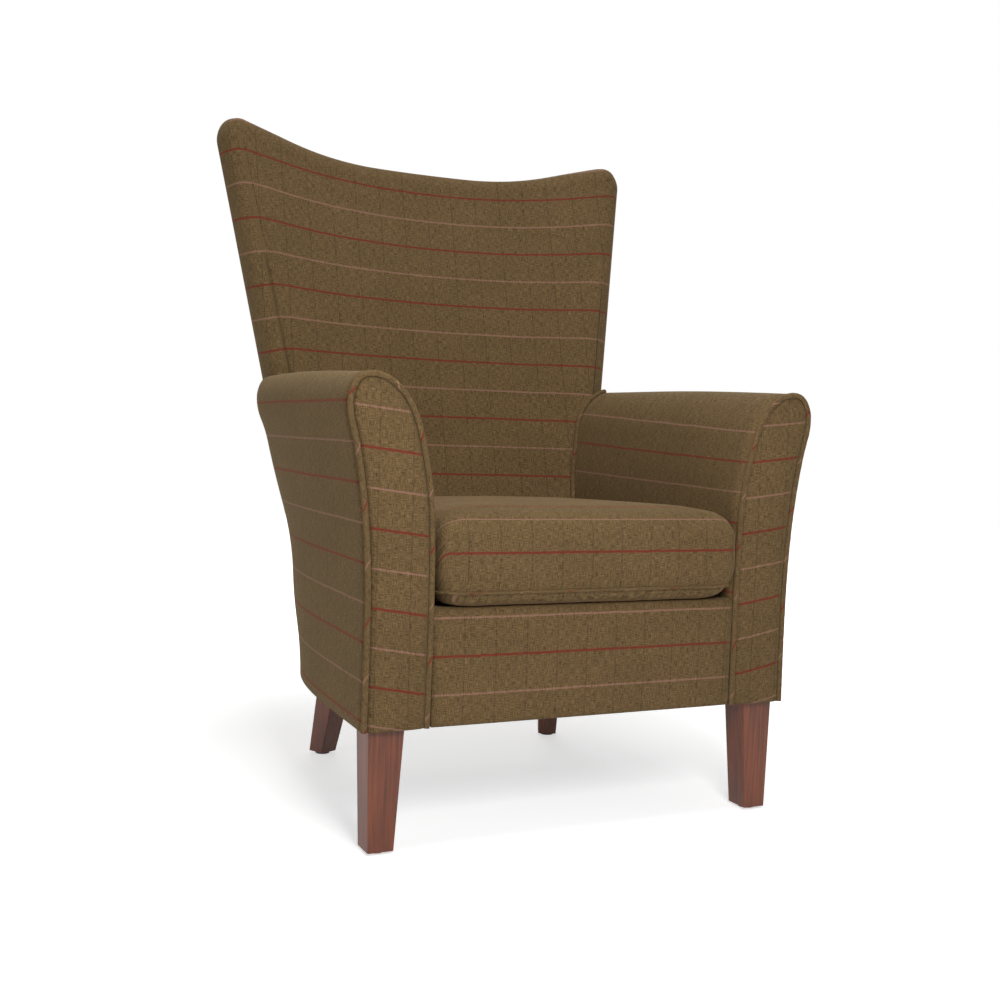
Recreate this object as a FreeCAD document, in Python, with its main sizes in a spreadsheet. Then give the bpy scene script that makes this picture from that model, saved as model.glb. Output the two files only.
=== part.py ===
import FreeCAD, Part
import Sketcher
import math
import os

V = FreeCAD.Vector

# Driving dimensions of the chair, in millimetres and degrees.
# Heights are above the floor, halves are from the middle plane, depths are behind the arm fronts.
SIZES = {
    "leg_height": 170,
    "glide_height": 4,
    "glide_diameter": 24,
    "front_leg_outer_half": 325,
    "front_leg_setback": 9,
    "front_leg_top_width": 51,
    "front_leg_foot_width": 37,
    "front_leg_top_depth": 50,
    "front_leg_foot_depth": 42,
    "front_leg_draw": 2.4,
    "rear_leg_half": 203,
    "rear_leg_depth": 508,
    "rear_leg_top_width": 46,
    "rear_leg_foot_width": 33,
    "rear_leg_splay": 40,
    "rear_leg_turn": 25,
    "leg_edge_round": 2,
    "bolt_diameter": 8,
    "bolt_in_leg": 40,
    "bolt_in_block": 45,
    "cover_thickness": 2,
    "panel_thickness": 3,
    "piping_diameter": 8,
    "arm_height": 637,
    "arm_rise": 9,
    "arm_outer_half": 336.5,
    "arm_flare_half": 363.5,
    "arm_flare_height": 598,
    "arm_apex_half": 333,
    "arm_inner_half": 241.5,
    "arm_padding": 18,
    "arm_draw_bottom": 86,
    "arm_draw_top": 26,
    "arm_tuck": 16,
    "arm_inner_draw": 10,
    "arm_inner_floor_draw": 50,
    "back_height": 1078,
    "back_dish": 42,
    "back_corner": 44,
    "back_bottom_half": 236,
    "back_flare": 0.171,
    "back_edge_depth": 431,
    "back_edge_recline": 0.218,
    "back_bow_bottom": 28,
    "back_bow_growth": 0.046,
    "back_rear_depth": 548,
    "back_rear_recline": 0.155,
    "back_rear_bow": 27,
    "back_rear_bow_growth": 0.06,
    "back_edge_round": 28,
    "back_padding": 22,
    "rail_height": 92,
    "rail_thickness": 22,
    "block_height": 64,
    "block_length": 58,
    "upright_width": 44,
    "back_rail_thickness": 26,
    "back_rail_width": 48,
    "seat_back_rail_depth": 505,
    "arm_rail_width": 22,
    "tack_rail_width": 34,
    "web_width": 50,
    "web_thickness": 1.6,
    "web_count": 5,
    "deck_height": 330,
    "seat_tilt": 1.7,
    "cloth_thickness": 1.5,
    "border_padding": 10,
    "border_return": 46,
    "border_round": 12,
    "deck_pad_thickness": 16,
    "felt_thickness": 3,
    "spring_count": 5,
    "spring_wire": 3.6,
    "spring_loop_radius": 9,
    "spring_loop_run": 30,
    "clip_width": 16,
    "cushion_nose": 22,
    "cushion_depth": 510,
    "cushion_thickness": 125,
    "cushion_crown": 14,
    "cushion_side_gap": 0.6,
    "cushion_draw_in": 3,
    "cushion_corner": 26,
    "cushion_rear_bow": 26,
    "welt_diameter": 4.4,
    "zip_length": 380,
    "zip_tape_height": 26,
    "zip_tape_thickness": 1,
    "zip_coil_height": 6,
    "zip_coil_thickness": 1.6,
    "zip_slider_length": 12,
    "zip_pull_length": 17,
    "zip_clearance": 0.35,
    "fit_gap": 0.3,
}

doc = FreeCAD.newDocument("fireside_chair")
sheet = doc.addObject("Spreadsheet::Sheet", "Sizes")
for row, (alias, size) in enumerate(SIZES.items(), start=1):
    sheet.set(f"A{row}", alias)
    sheet.set(f"B{row}", str(size))
    sheet.setAlias(f"B{row}", alias)
doc.recompute()
size = {alias: float(getattr(sheet, alias)) for alias in SIZES}

# Shared planes and depths.
floor_to_body = size["leg_height"]
body_top = size["back_height"] + 30
flare_height = size["arm_flare_height"]
arm_front = size["piping_diameter"] - 2
envelope = size["cover_thickness"] + size["panel_thickness"]


def back_half(height):
    return size["back_bottom_half"] + size["back_flare"] * (height - floor_to_body)


def back_edge(height):
    return size["back_edge_depth"] + size["back_edge_recline"] * (height - floor_to_body)


def back_bow(height):
    return size["back_bow_bottom"] + size["back_bow_growth"] * (height - floor_to_body)


def rear_edge(height):
    return size["back_rear_depth"] + size["back_rear_recline"] * (height - floor_to_body)


def rear_bow(height):
    return size["back_rear_bow"] + size["back_rear_bow_growth"] * (height - floor_to_body)


# The origin is under the middle of the chair: the cushion's nose and the back's
# rearmost point at its top are equally far from it. FACING is the place of the arm fronts.
TOP_RISE = "(Sizes.back_height - Sizes.back_dish - Sizes.leg_height)"
REARMOST = (
    "(Sizes.back_rear_depth + Sizes.back_rear_bow"
    f" + (Sizes.back_rear_recline + Sizes.back_rear_bow_growth) * {TOP_RISE})"
)
FACING = f"(Sizes.cushion_nose - {REARMOST}) / 2"


def value(expression):
    return float(sheet.evalExpression(expression))


rearmost_depth = value(REARMOST)
facing_y = value(FACING)


def at(x, depth, height):
    return V(x, facing_y + depth, height)


# Smooth outlines: each stretch between two keys is a pair of tangent arcs.
def arc_or_line(start, heading, end):
    chord = end - start
    along = V(chord).normalize()
    aside = heading - along * heading.dot(along)
    if aside.Length < 1e-4:
        return Part.LineSegment(start, end).toShape()
    turn = heading.getAngle(chord)
    middle = (start + end) * 0.5 + aside.normalize() * (chord.Length / 2 * math.tan(turn / 2))
    return Part.Arc(start, middle, end).toShape()


def arc_pair(start, heading, end, leaving):
    chord = end - start
    both = heading + leaving
    spread = 2 * (1 - heading.dot(leaving))
    if spread < 1e-9:
        reach = chord.dot(chord) / (4 * chord.dot(leaving))
    else:
        swing = chord.dot(both)
        reach = (math.sqrt(swing * swing + spread * chord.dot(chord)) - swing) / spread
    meet = (start + heading * reach + end - leaving * reach) * 0.5
    back_heading = leaving * -1
    first = arc_or_line(start, heading, meet)
    second = arc_or_line(end, back_heading, meet)
    second.reverse()
    return [first, second]


def smooth_edges(keys):
    edges = []
    for (start, heading), (end, leaving) in zip(keys, keys[1:]):
        edges += arc_pair(start, V(heading).normalize(), end, V(leaving).normalize())
    return edges


def closed_wire(keys):
    return Part.Wire(smooth_edges(keys + keys[:1]))


def open_section(keys):
    edges = smooth_edges(keys)
    edges.append(Part.LineSegment(keys[-1][0], keys[0][0]).toShape())
    return Part.Wire(edges)


def loft(wires, ruled=False):
    return Part.makeLoft(wires, True, ruled)


def block(x0, x1, depth0, depth1, z0, z1):
    return Part.makeBox(x1 - x0, depth1 - depth0, z1 - z0, at(x0, depth0, z0))


def mirrored_keys(keys):
    """The left half of an outline whose right half runs from its front middle to its rear middle."""
    left = [(V(-p.x, p.y, p.z), V(h.x, -h.y, h.z)) for p, h in reversed(keys[1:-1])]
    return keys + left


# Outline of an arm across the chair: up its outer side, over the crown and down its inner side.
# share is 0 at the arm's front and 1 at its rear corner, where the outline leans with the back.
WAIST_HEIGHT = 0.36


def arm_depth(share, height):
    return arm_front + share * (rear_edge(height) - size["arm_tuck"] - arm_front)


def arm_share(depth, height):
    return (depth - arm_front) / (rear_edge(height) - size["arm_tuck"] - arm_front)


def side_draw(share, height):
    """How far the outer side has come in from its place at the arm front."""
    part = (height - floor_to_body) / (flare_height - floor_to_body)
    draw = size["arm_draw_bottom"] + (size["arm_draw_top"] - size["arm_draw_bottom"]) * part
    bend = 0.15 * share + 0.85 * share ** 4
    corner = max(0.0, (share - 0.88) / 0.12) ** 2
    front_half = size["arm_outer_half"] + (size["arm_flare_half"] - size["arm_outer_half"]) * part ** 3
    to_back = front_half - draw - back_half(height) + size["arm_tuck"] / 2
    return draw * bend + max(0.0, to_back) * corner


def arm_outline(share, outer_inset, inner_inset, bottom):
    rise = size["arm_rise"] * math.sin(min(1.0, share * 1.6) * math.pi / 2)
    top = size["arm_height"] + rise
    outer = size["arm_outer_half"]
    flare = size["arm_flare_half"]
    inner = size["arm_inner_half"]
    inner_draw = size["arm_inner_draw"] * share
    waist = floor_to_body + (flare_height - floor_to_body) * WAIST_HEIGHT
    shoulder = flare_height - 58
    flare_draw = side_draw(share, flare_height)
    crown_draw = inner_draw + 0.75 * (flare_draw - inner_draw)
    slope_draw = inner_draw + 0.33 * (flare_draw - inner_draw)
    outer_keys = [
        (outer - side_draw(share, bottom), bottom, -0.02, 1),
        (outer - 2 - side_draw(share, waist), waist, 0.0, 1),
        (flare - 11 - side_draw(share, shoulder), shoulder, 0.19, 1),
        (flare - flare_draw, flare_height + rise, 0.0, 1),
    ]
    inner_keys = [
        (size["arm_apex_half"] - crown_draw, top, -1, 0),
        (inner + 41 - slope_draw, top - 29, -0.58, -0.81),
        (inner + 12 - inner_draw, top - 111, -0.21, -1),
        (inner - inner_draw, waist + 34, 0.0, -1),
        (inner + 2 - size["arm_inner_floor_draw"] * share, bottom, 0.02, -1),
    ]
    keys = []
    for x, height, run, climb in outer_keys:
        length = math.hypot(run, climb)
        keys.append((x - outer_inset * climb / length, height + outer_inset * run / length, run, climb))
    for x, height, run, climb in inner_keys:
        length = math.hypot(run, climb)
        keys.append((x - inner_inset * climb / length, height + inner_inset * run / length, run, climb))
    placed = []
    for x, height, run, climb in keys:
        lean = share * size["back_rear_recline"]
        depth = arm_depth(share, height)
        placed.append((at(x, depth, height), V(run, lean * climb, climb)))
    return placed


ARM_SHARES = (0.0, 0.14, 0.32, 0.5, 0.64, 0.77, 0.88, 0.95, 1.0)


def arm_solid(outer_inset, inner_inset, past=0.0, end=1.0):
    inner_shares = [share for share in ARM_SHARES[1:] if share < end]
    shares = [ARM_SHARES[0] - past, *inner_shares, end + past / 4]
    bottom = floor_to_body - past * 400
    return loft([open_section(arm_outline(share, outer_inset, inner_inset, bottom)) for share in shares])


# Horizontal outline of the back: along its front from the middle, round its side and along its rear.
BACK_HEIGHTS = (0.0, 0.2, 0.45, 0.7, 0.9, 1.0)


def back_outline(height, front_inset, side_inset, rear_inset):
    half = back_half(height) - side_inset
    front_edge = back_edge(height) + front_inset
    front_bow = back_bow(height)
    rear = rear_edge(height) - rear_inset
    bow = rear_bow(height)
    rounding = size["back_edge_round"]
    right = [
        (at(0, front_edge + front_bow, height), V(1, 0, 0)),
        (at(half - rounding, front_edge, height), V(1, -2 * front_bow / half, 0)),
        (at(half, (front_edge + rear) / 2, height), V(0, 1, 0)),
        (at(half - rounding, rear, height), V(-1, 2 * bow / half, 0)),
        (at(0, rear + bow, height), V(-1, 0, 0)),
    ]
    return mirrored_keys(right)


def top_prism(inset):
    """Everything below the dished top edge of the back, from side to side."""
    corner = size["back_corner"]
    top = size["back_height"] - inset
    low = top - size["back_dish"]
    half = back_half(top) - inset
    front = 0
    side_height = top - corner
    side_half = back_half(side_height) - inset
    curve = [
        (at(side_half, front, side_height), V(size["back_flare"], 0, 1)),
        (at(half - corner, front, top), V(-1, 0, -0.22)),
        (at(half * 0.45, front, low + size["back_dish"] * 0.13), V(-1, 0, -0.12)),
        (at(0, front, low), V(-1, 0, 0)),
    ]
    left = [(V(-p.x, p.y, p.z), V(h.x, h.y, -h.z)) for p, h in reversed(curve[:-1])]
    edges = smooth_edges(curve + left)
    wide = half + 100
    floor = -10
    outline = [
        at(-side_half, front, side_height),
        at(-wide, front, side_height),
        at(-wide, front, floor),
        at(wide, front, floor),
        at(wide, front, side_height),
        at(side_half, front, side_height),
    ]
    edges += [Part.LineSegment(a, b).toShape() for a, b in zip(outline, outline[1:])]
    return Part.Face(Part.Wire(edges)).extrude(V(0, rearmost_depth + 100, 0))


def back_solid(front_inset, side_inset, rear_inset, bottom):
    wires = []
    for part in BACK_HEIGHTS:
        height = bottom + (body_top - bottom) * part
        wires.append(closed_wire(back_outline(height, front_inset, side_inset, rear_inset)))
    return loft(wires).common(top_prism(front_inset * 0.7 if side_inset else 0))


# Every finished piece becomes an object of the document with its own name.
pieces = []


def finished(item):
    pieces.append(item)
    return item


def feature(kind, name, **links):
    item = doc.addObject(kind, name)
    item.Label = name
    for link, target in links.items():
        setattr(item, link, target)
    return item


def shaped(name, shape):
    item = feature("Part::Feature", name)
    item.Shape = shape
    return item


def place(name, shape):
    return finished(shaped(name, shape))


def mirror(source, name):
    return finished(feature("Part::Mirroring", name, Source=source, Normal=V(1, 0, 0)))


def both_sides(stem, item):
    item.Label = stem + "_right"
    finished(item)
    mirror(item, stem + "_left")
    return item


def slab(name, x0, x1, depth0, depth1, z0, z1):
    """A box between pairs of expressions, with depths behind the arm fronts."""
    item = feature("Part::Box", name)
    item.setExpression("Length", f"({x1}) - ({x0})")
    item.setExpression("Width", f"({depth1}) - ({depth0})")
    item.setExpression("Height", f"({z1}) - ({z0})")
    item.setExpression("Placement.Base.x", x0)
    item.setExpression("Placement.Base.y", f"{FACING} + ({depth0})")
    item.setExpression("Placement.Base.z", z0)
    return item


def common(name, base, tool):
    return feature("Part::Common", name, Base=base, Tool=tool)


def cut(name, base, tool):
    return feature("Part::Cut", name, Base=base, Tool=tool)


def group(name, items):
    return feature("Part::Compound", name, Links=items)


def mirrored(shape):
    return shape.mirror(V(0, 0, 0), V(1, 0, 0))


def both(shape):
    return Part.makeCompound([shape, mirrored(shape)])


def largest(shape):
    """The main solid of a cut, without the slivers that curved faces leave."""
    return max(shape.Solids, key=lambda solid: solid.Volume)


# Levels of the seat, from the deck down to the rails.
cover = size["cover_thickness"]
cloth = size["cloth_thickness"]
CLIP_TOP = 2
RAIL_BASE = "Sizes.leg_height + Sizes.cloth_thickness"
FELT_TOP = "Sizes.deck_height - Sizes.cloth_thickness - Sizes.deck_pad_thickness"
WIRE = f"{FELT_TOP} - Sizes.felt_thickness - Sizes.spring_wire / 2"
RAIL_TOP = f"{WIRE} - Sizes.spring_wire / 2 - {CLIP_TOP}"
TUCK = "Sizes.deck_height - 25"
BOARD = "Sizes.rail_thickness"
rail_base = value(RAIL_BASE)
felt_top = value(FELT_TOP)
wire_height = value(WIRE)
rail_top = value(RAIL_TOP)
tuck_height = value(TUCK)
deck_top = size["deck_height"]
frame_inset = cover + size["arm_padding"]
far = 700
slope = math.tan(math.radians(size["seat_tilt"]))


def tilted(shape):
    """The seat falls towards the rear, turned about the front edge of its deck."""
    turned = shape.copy()
    turned.rotate(at(0, 0, deck_top), V(1, 0, 0), -size["seat_tilt"])
    return turned


def front_surface_depth(x, height):
    flat_half = back_half(height) - size["back_edge_round"]
    return back_edge(height) + back_bow(height) * (1 - (x / flat_half) ** 2)


# Envelopes of the back: its outside, the inside of its cover, and its frame.
below = 5
back_frame_front = cover + size["back_padding"]
back_frame_side = cover + 6
back_body = back_solid(0, 0, 0, floor_to_body)
back_core = back_solid(cover, cover, cover, floor_to_body - below)
back_frame = back_solid(back_frame_front, back_frame_side, envelope, floor_to_body - below)

# Envelopes of an arm: the cover wraps the padding, the padding wraps the frame.
arm_body = arm_solid(0, 0)
arm_core = arm_solid(cover, cover, 0.02)
frame_end = 0.95
arm_frame = arm_solid(envelope, frame_inset, 0.04, frame_end)
arm_timber = shaped("arm_frame_envelope", arm_frame.cut(back_frame))
below_tuck = block(-far, far, -far, far * 2, 0, tuck_height)


def outer_side_region():
    """The space of the outside cover: from its lower edge up to the widest line of the arm."""
    split_inset = 14
    levels = (floor_to_body, flare_height - 118, flare_height)
    wires = []
    for share in (-0.05, *ARM_SHARES[1:-1], 1.05):
        points = []
        for height in levels:
            part = (height - floor_to_body) / (flare_height - floor_to_body)
            outer = size["arm_outer_half"] + (size["arm_flare_half"] - size["arm_outer_half"]) * part ** 3
            inside = outer - side_draw(share, height) - split_inset
            points.append(at(inside, arm_depth(share, height), height))
        for height in (levels[-1], levels[0]):
            points.append(at(far, arm_depth(share, height), height))
        wires.append(Part.makePolygon(points + points[:1]))
    return loft(wires, ruled=True)


outer_side = outer_side_region()
arm_shell = arm_body.cut(arm_core).cut(back_body)
both_sides("outside_arm_cover", shaped("outside_arm_shell", largest(arm_shell.common(outer_side))))
both_sides("inside_arm_cover", shaped("inside_arm_shell", largest(arm_shell.cut(outer_side).cut(below_tuck))))
arm_fill = arm_body.common(arm_core).cut(arm_frame).cut(back_body)
both_sides("outside_arm_panel", shaped("outside_arm_board", largest(arm_fill.common(outer_side))))
both_sides("arm_foam", shaped("arm_padding", largest(arm_fill.cut(outer_side).cut(below_tuck))))

# Arm frames: the front post has the outline of the facing, and rails run back to the back frame.
POST_FRONT = "Sizes.piping_diameter - 2"
POST_REAR = f"{POST_FRONT} + {BOARD}"
RAIL_END = "Sizes.back_rear_depth - 2 * Sizes.arm_tuck"
OUTSIDE = "2 * Sizes.arm_flare_half"
post_slab = slab("post_slab", "0", OUTSIDE, POST_FRONT, POST_REAR, RAIL_BASE, "Sizes.back_height")
post = both_sides("front_post", common("post_board", arm_timber, post_slab))
TOP_RAIL = "Sizes.arm_flare_height - 12"
top_slab = slab(
    "top_rail_slab", "0", OUTSIDE, POST_REAR, "Sizes.back_height",
    f"{TOP_RAIL} - Sizes.arm_rail_width", TOP_RAIL,
)
arm_rail = both_sides("arm_top_rail", common("arm_rail_board", arm_timber, top_slab))
TACK_SIDE = f"Sizes.arm_inner_half + Sizes.cover_thickness + Sizes.arm_padding + {BOARD}"
tack_slab = slab(
    "tack_rail_slab", "0", TACK_SIDE, POST_REAR, "Sizes.back_height",
    TUCK, f"{TUCK} + Sizes.tack_rail_width",
)
tack_rail = both_sides("arm_tack_rail", common("tack_rail_board", arm_timber, tack_slab))
ring = arm_timber.Shape.cut(arm_solid(envelope + size["rail_thickness"], 0, 0.04, frame_end))
side_slab = slab(
    "side_rail_slab", "0", OUTSIDE, POST_REAR, RAIL_END, RAIL_BASE, f"{RAIL_BASE} + Sizes.rail_height"
)
side_rail = both_sides("side_rail", common("side_rail_board", shaped("arm_side_envelope", ring), side_slab))
doc.recompute()

# Facings: a padded cover inside a piped edge, on the front of each post.
pipe_radius = size["piping_diameter"] / 2
pipe_proud = 1.5
facing_inset = pipe_radius * 2 - pipe_proud + size["fit_gap"]
facing_pad_depth = arm_front - 1
facing_face = Part.Face(open_section(arm_outline(0, facing_inset, facing_inset, floor_to_body)))
both_sides("facing_pad", shaped("facing_wadding", facing_face.extrude(V(0, -facing_pad_depth, 0))))
facing_cover = facing_face.extrude(V(0, -cover, 0))
facing_cover.translate(V(0, -facing_pad_depth, 0))
both_sides("facing_cover", shaped("facing_cloth", facing_cover))


def tube(path_edges, radius):
    path = Part.Wire(path_edges)
    start = path_edges[0].valueAt(path_edges[0].FirstParameter)
    heading = path_edges[0].tangentAt(path_edges[0].FirstParameter)
    ring_wire = Part.Wire(Part.makeCircle(radius, start, heading))
    return path.makePipeShell([ring_wire], True, False)


pipe_inset = pipe_radius - pipe_proud
facing_pipe = tube(smooth_edges(arm_outline(0, pipe_inset, pipe_inset, floor_to_body)), pipe_radius)
facing_pipe.translate(V(0, -pipe_radius, 0))
both_sides("facing_piping", shaped("facing_cord", facing_pipe))


def junction_keys():
    """Follows the crease between the inside arm and the inside back, from the seat to the crown."""
    off = -pipe_radius - size["fit_gap"]
    points = []
    for key in (7, 6, 5, 4):
        share = 0.87
        for _ in range(3):
            point = arm_outline(share, off, off, floor_to_body)[key][0]
            share = arm_share(front_surface_depth(point.x, point.z) + off, point.z)
        points.append(point)
    ends = [points[1] - points[0]]
    ends += [points[i + 1] - points[i - 1] for i in range(1, len(points) - 1)]
    ends.append(points[-1] - points[-2])
    return list(zip(points, ends))


junction = tube(smooth_edges(junction_keys()), pipe_radius).cut(back_body).cut(arm_body)
both_sides("back_arm_piping", shaped("junction_cord", largest(junction)))


# Back: the outside panel meets the wrapped inside cover in a seam along the rear edge.
def rear_region(split):
    """The space behind a surface that follows the rear of the back, this far inside it."""
    beyond = 60
    wires = []
    for height in (floor_to_body, (floor_to_body + body_top) / 2, body_top + below):
        half = back_half(height)
        edge = rear_edge(height) - split
        bow = rear_bow(height)
        wide = half + beyond
        drop = bow * ((wide / half) ** 2 - 1)
        lean = 2 * bow * wide / half ** 2
        keys = [
            (at(wide, edge - drop, height), V(-1, lean, 0)),
            (at(0, edge + bow, height), V(-1, 0, 0)),
            (at(-wide, edge - drop, height), V(-1, -lean, 0)),
        ]
        edges = smooth_edges(keys)
        behind = far * 1.5
        corners = [keys[-1][0], at(-wide, behind, height), at(wide, behind, height), keys[0][0]]
        edges += [Part.LineSegment(a, b).toShape() for a, b in zip(corners, corners[1:])]
        wires.append(Part.Wire(edges))
    return loft(wires, ruled=True)


def upright_wedge(front_depth):
    """The space of the right upright: a slanted board's width inside the side of the frame."""
    wires = []
    for height in (rail_base, body_top):
        inner = back_half(height) - back_frame_side - size["upright_width"]
        corners = [
            at(inner, front_depth, height),
            at(far, front_depth, height),
            at(far, far * 1.5, height),
            at(inner, far * 1.5, height),
        ]
        wires.append(Part.makePolygon(corners + corners[:1]))
    return loft(wires, ruled=True)


def rail_slot(rail):
    """A notch in the padding and cover of the back, where an arm rail passes to its upright."""
    box = rail.Shape.optimalBoundingBox(False, False)
    corner = V(box.XMin, box.YMin, box.ZMin)
    return Part.makeBox(far, box.YLength, box.ZLength, corner)


arm_rails = Part.makeCompound([both(rail_slot(rail)) for rail in (arm_rail, tack_rail)])
rear_side = rear_region(9)
back_shell = back_body.cut(back_core)
place("outside_back_cover", back_shell.common(rear_side))
place("inside_back_cover", back_shell.cut(rear_side).cut(below_tuck).cut(arm_rails))
back_fill = back_core.cut(back_frame)
place("outside_back_panel", back_fill.common(rear_side))
place("back_foam", back_fill.cut(rear_side).cut(below_tuck).cut(arm_rails))

# Back frame: two uprights, two curved rails between them, and straps across their fronts.
web = size["web_thickness"]
behind_webs = back_frame.copy()
behind_webs.translate(V(0, web, 0))
timber_zone = back_frame.common(behind_webs)
wedge = upright_wedge(0)
upright_blank = timber_zone.common(wedge)
bolt_radius = size["bolt_diameter"] / 2
hole_radius = bolt_radius + size["fit_gap"]
bolt_base = floor_to_body - size["bolt_in_leg"]
bolt_length = size["bolt_in_leg"] + cloth + size["bolt_in_block"]
front_bolt = (size["front_leg_outer_half"] - size["front_leg_top_width"] / 2,
              size["front_leg_setback"] + size["front_leg_top_depth"] / 2)
rear_bolt = (size["rear_leg_half"], size["rear_leg_depth"])


def bolt_hole(place_on_floor):
    x, depth = place_on_floor
    return Part.makeCylinder(hole_radius, bolt_length + 1, at(x, depth, bolt_base))


both_sides("back_upright", shaped("upright_board", upright_blank.cut(bolt_hole(rear_bolt))))
uprights = both(upright_blank)
rail_layer = timber_zone.common(rear_region(envelope + size["back_rail_thickness"]))
between = rail_layer.cut(both(wedge))
top_rail_base = size["back_height"] - size["back_dish"] - cover - size["back_padding"] - size["back_rail_width"]
place("back_top_rail", between.common(block(-far, far, 0, far * 2, top_rail_base, body_top)))
stay_base = deck_top + size["tack_rail_width"]
stay_top = stay_base + size["back_rail_width"]
place("back_stay_rail", between.common(block(-far, far, 0, far * 2, stay_base, stay_top)))
web_count = int(size["web_count"])
web_pitch = (top_rail_base - stay_top) / web_count
webs = []
for index in range(web_count):
    middle = stay_top + web_pitch * (index + 0.5)
    half = back_half(middle) - back_frame_side - size["upright_width"] / 2
    low = middle - size["web_width"] / 2
    strip = block(-half, half, 0, far * 2, low, low + size["web_width"])
    webs.append(back_frame.common(strip).cut(behind_webs))
place("back_webbing", Part.makeCompound(webs))

# Seat frame: front and back rails between the posts and uprights, with blocks in the corners.
BORDER_FACE = "2"
FRONT_RAIL = f"{BORDER_FACE} + Sizes.cover_thickness + Sizes.border_padding"
FRONT_RAIL_REAR = f"{FRONT_RAIL} + {BOARD}"
BACK_RAIL = "Sizes.seat_back_rail_depth"
POST_SIDE = "Sizes.arm_inner_half + Sizes.cover_thickness + Sizes.arm_padding"
posts = group("posts", [post, feature("Part::Mirroring", "post_copy", Source=post, Normal=V(1, 0, 0))])
front_rail = finished(cut(
    "front_rail",
    slab("front_rail_slab", f"-({POST_SIDE} + 5)", f"{POST_SIDE} + 5",
         FRONT_RAIL, FRONT_RAIL_REAR, RAIL_BASE, RAIL_TOP),
    posts,
))
upright_tools = shaped("uprights", uprights)
seat_fall = f"({BACK_RAIL}) * tan(Sizes.seat_tilt)"
back_rail = finished(cut(
    "seat_back_rail",
    slab(
        "seat_back_rail_slab", "-Sizes.rear_leg_half", "Sizes.rear_leg_half",
        BACK_RAIL, f"{BACK_RAIL} + {BOARD}", RAIL_BASE, f"{RAIL_TOP} - {seat_fall}",
    ),
    upright_tools,
))
doc.recompute()
post_side = value(POST_SIDE)
block_top = rail_base + size["block_height"]
side_face = size["arm_outer_half"] - envelope - size["rail_thickness"]
front_block = block(
    side_face - size["block_length"], side_face, value(POST_REAR), value(POST_REAR) + size["block_length"],
    rail_base, block_top,
)
front_block = front_block.cut(Part.makeCompound([front_rail.Shape, post.Shape, side_rail.Shape]))
front_block = front_block.cut(bolt_hole(front_bolt))
back_block_side = size["back_bottom_half"] - back_frame_side - size["upright_width"]
back_block = block(
    back_block_side - size["block_length"], back_block_side + size["upright_width"] / 2,
    size["seat_back_rail_depth"] - size["block_length"], size["seat_back_rail_depth"],
    rail_base, block_top,
).cut(uprights)
place("corner_blocks", Part.makeCompound([
    front_block, mirrored(front_block), back_block, mirrored(back_block),
]))


# Bottom cloth over the underside of the frame, with a hole for each leg bolt.
def floor_side(share, inset):
    x = size["arm_outer_half"] - side_draw(share, floor_to_body) - inset
    return at(x, arm_depth(share, floor_to_body), floor_to_body)


cloth_inset = envelope + 5
cloth_shares = (0.005, 0.35, 0.6, 0.8, 0.92)
right_points = [floor_side(share, cloth_inset) for share in cloth_shares]
right_keys = []
for share, point in zip(cloth_shares, right_points):
    ahead = floor_side(share + 0.01, cloth_inset) - floor_side(share - 0.01, cloth_inset)
    right_keys.append((point, ahead))
left_keys = [(V(-p.x, p.y, p.z), V(h.x, -h.y, 0)) for p, h in reversed(right_keys)]
corners = [right_keys[-1][0], left_keys[0][0], left_keys[-1][0], right_keys[0][0]]
edges = smooth_edges(right_keys) + [Part.LineSegment(corners[0], corners[1]).toShape()]
edges += smooth_edges(left_keys) + [Part.LineSegment(corners[2], corners[3]).toShape()]
dust_cover = Part.Face(Part.Wire(edges)).extrude(V(0, 0, cloth))
holes = [both(bolt_hole(spot)) for spot in (front_bolt, rear_bolt)]
place("dust_cover", dust_cover.cut(Part.makeCompound(holes)))


# Legs: turned square tapers, each drilled for the bolt that stands in its top.
def plane_of(body, role):
    return next(plane for plane in body.Origin.OriginFeatures if plane.Role == role)


def sketch_on(body, name, level):
    sketch = body.newObject("Sketcher::SketchObject", name)
    sketch.AttachmentSupport = [(plane_of(body, "XY_Plane"), "")]
    sketch.MapMode = "FlatFace"
    sketch.setExpression("AttachmentOffset.Base.z", level)
    return sketch


def rectangle(body, name, level, left, front, width, depth):
    sketch = sketch_on(body, name, level)
    spots = [V(0, 0, 0), V(30, 0, 0), V(30, 30, 0), V(0, 30, 0)]
    for index, spot in enumerate(spots):
        sketch.addGeometry(Part.LineSegment(spot, spots[(index + 1) % 4]), False)
    for index in range(4):
        sketch.addConstraint(Sketcher.Constraint("Coincident", index, 2, (index + 1) % 4, 1))
    for index, direction in enumerate(("Horizontal", "Vertical", "Horizontal", "Vertical")):
        sketch.addConstraint(Sketcher.Constraint(direction, index))
    measures = [
        (Sketcher.Constraint("DistanceX", 0, 1, 0, 2, 30), width),
        (Sketcher.Constraint("DistanceY", 1, 1, 1, 2, 30), depth),
        (Sketcher.Constraint("DistanceX", -1, 1, 0, 1, 10), left),
        (Sketcher.Constraint("DistanceY", -1, 1, 0, 1, 10), front),
    ]
    for constraint, expression in measures:
        index = sketch.addConstraint(constraint)
        sketch.setExpression(f"Constraints[{index}]", expression)
    return sketch


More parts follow.
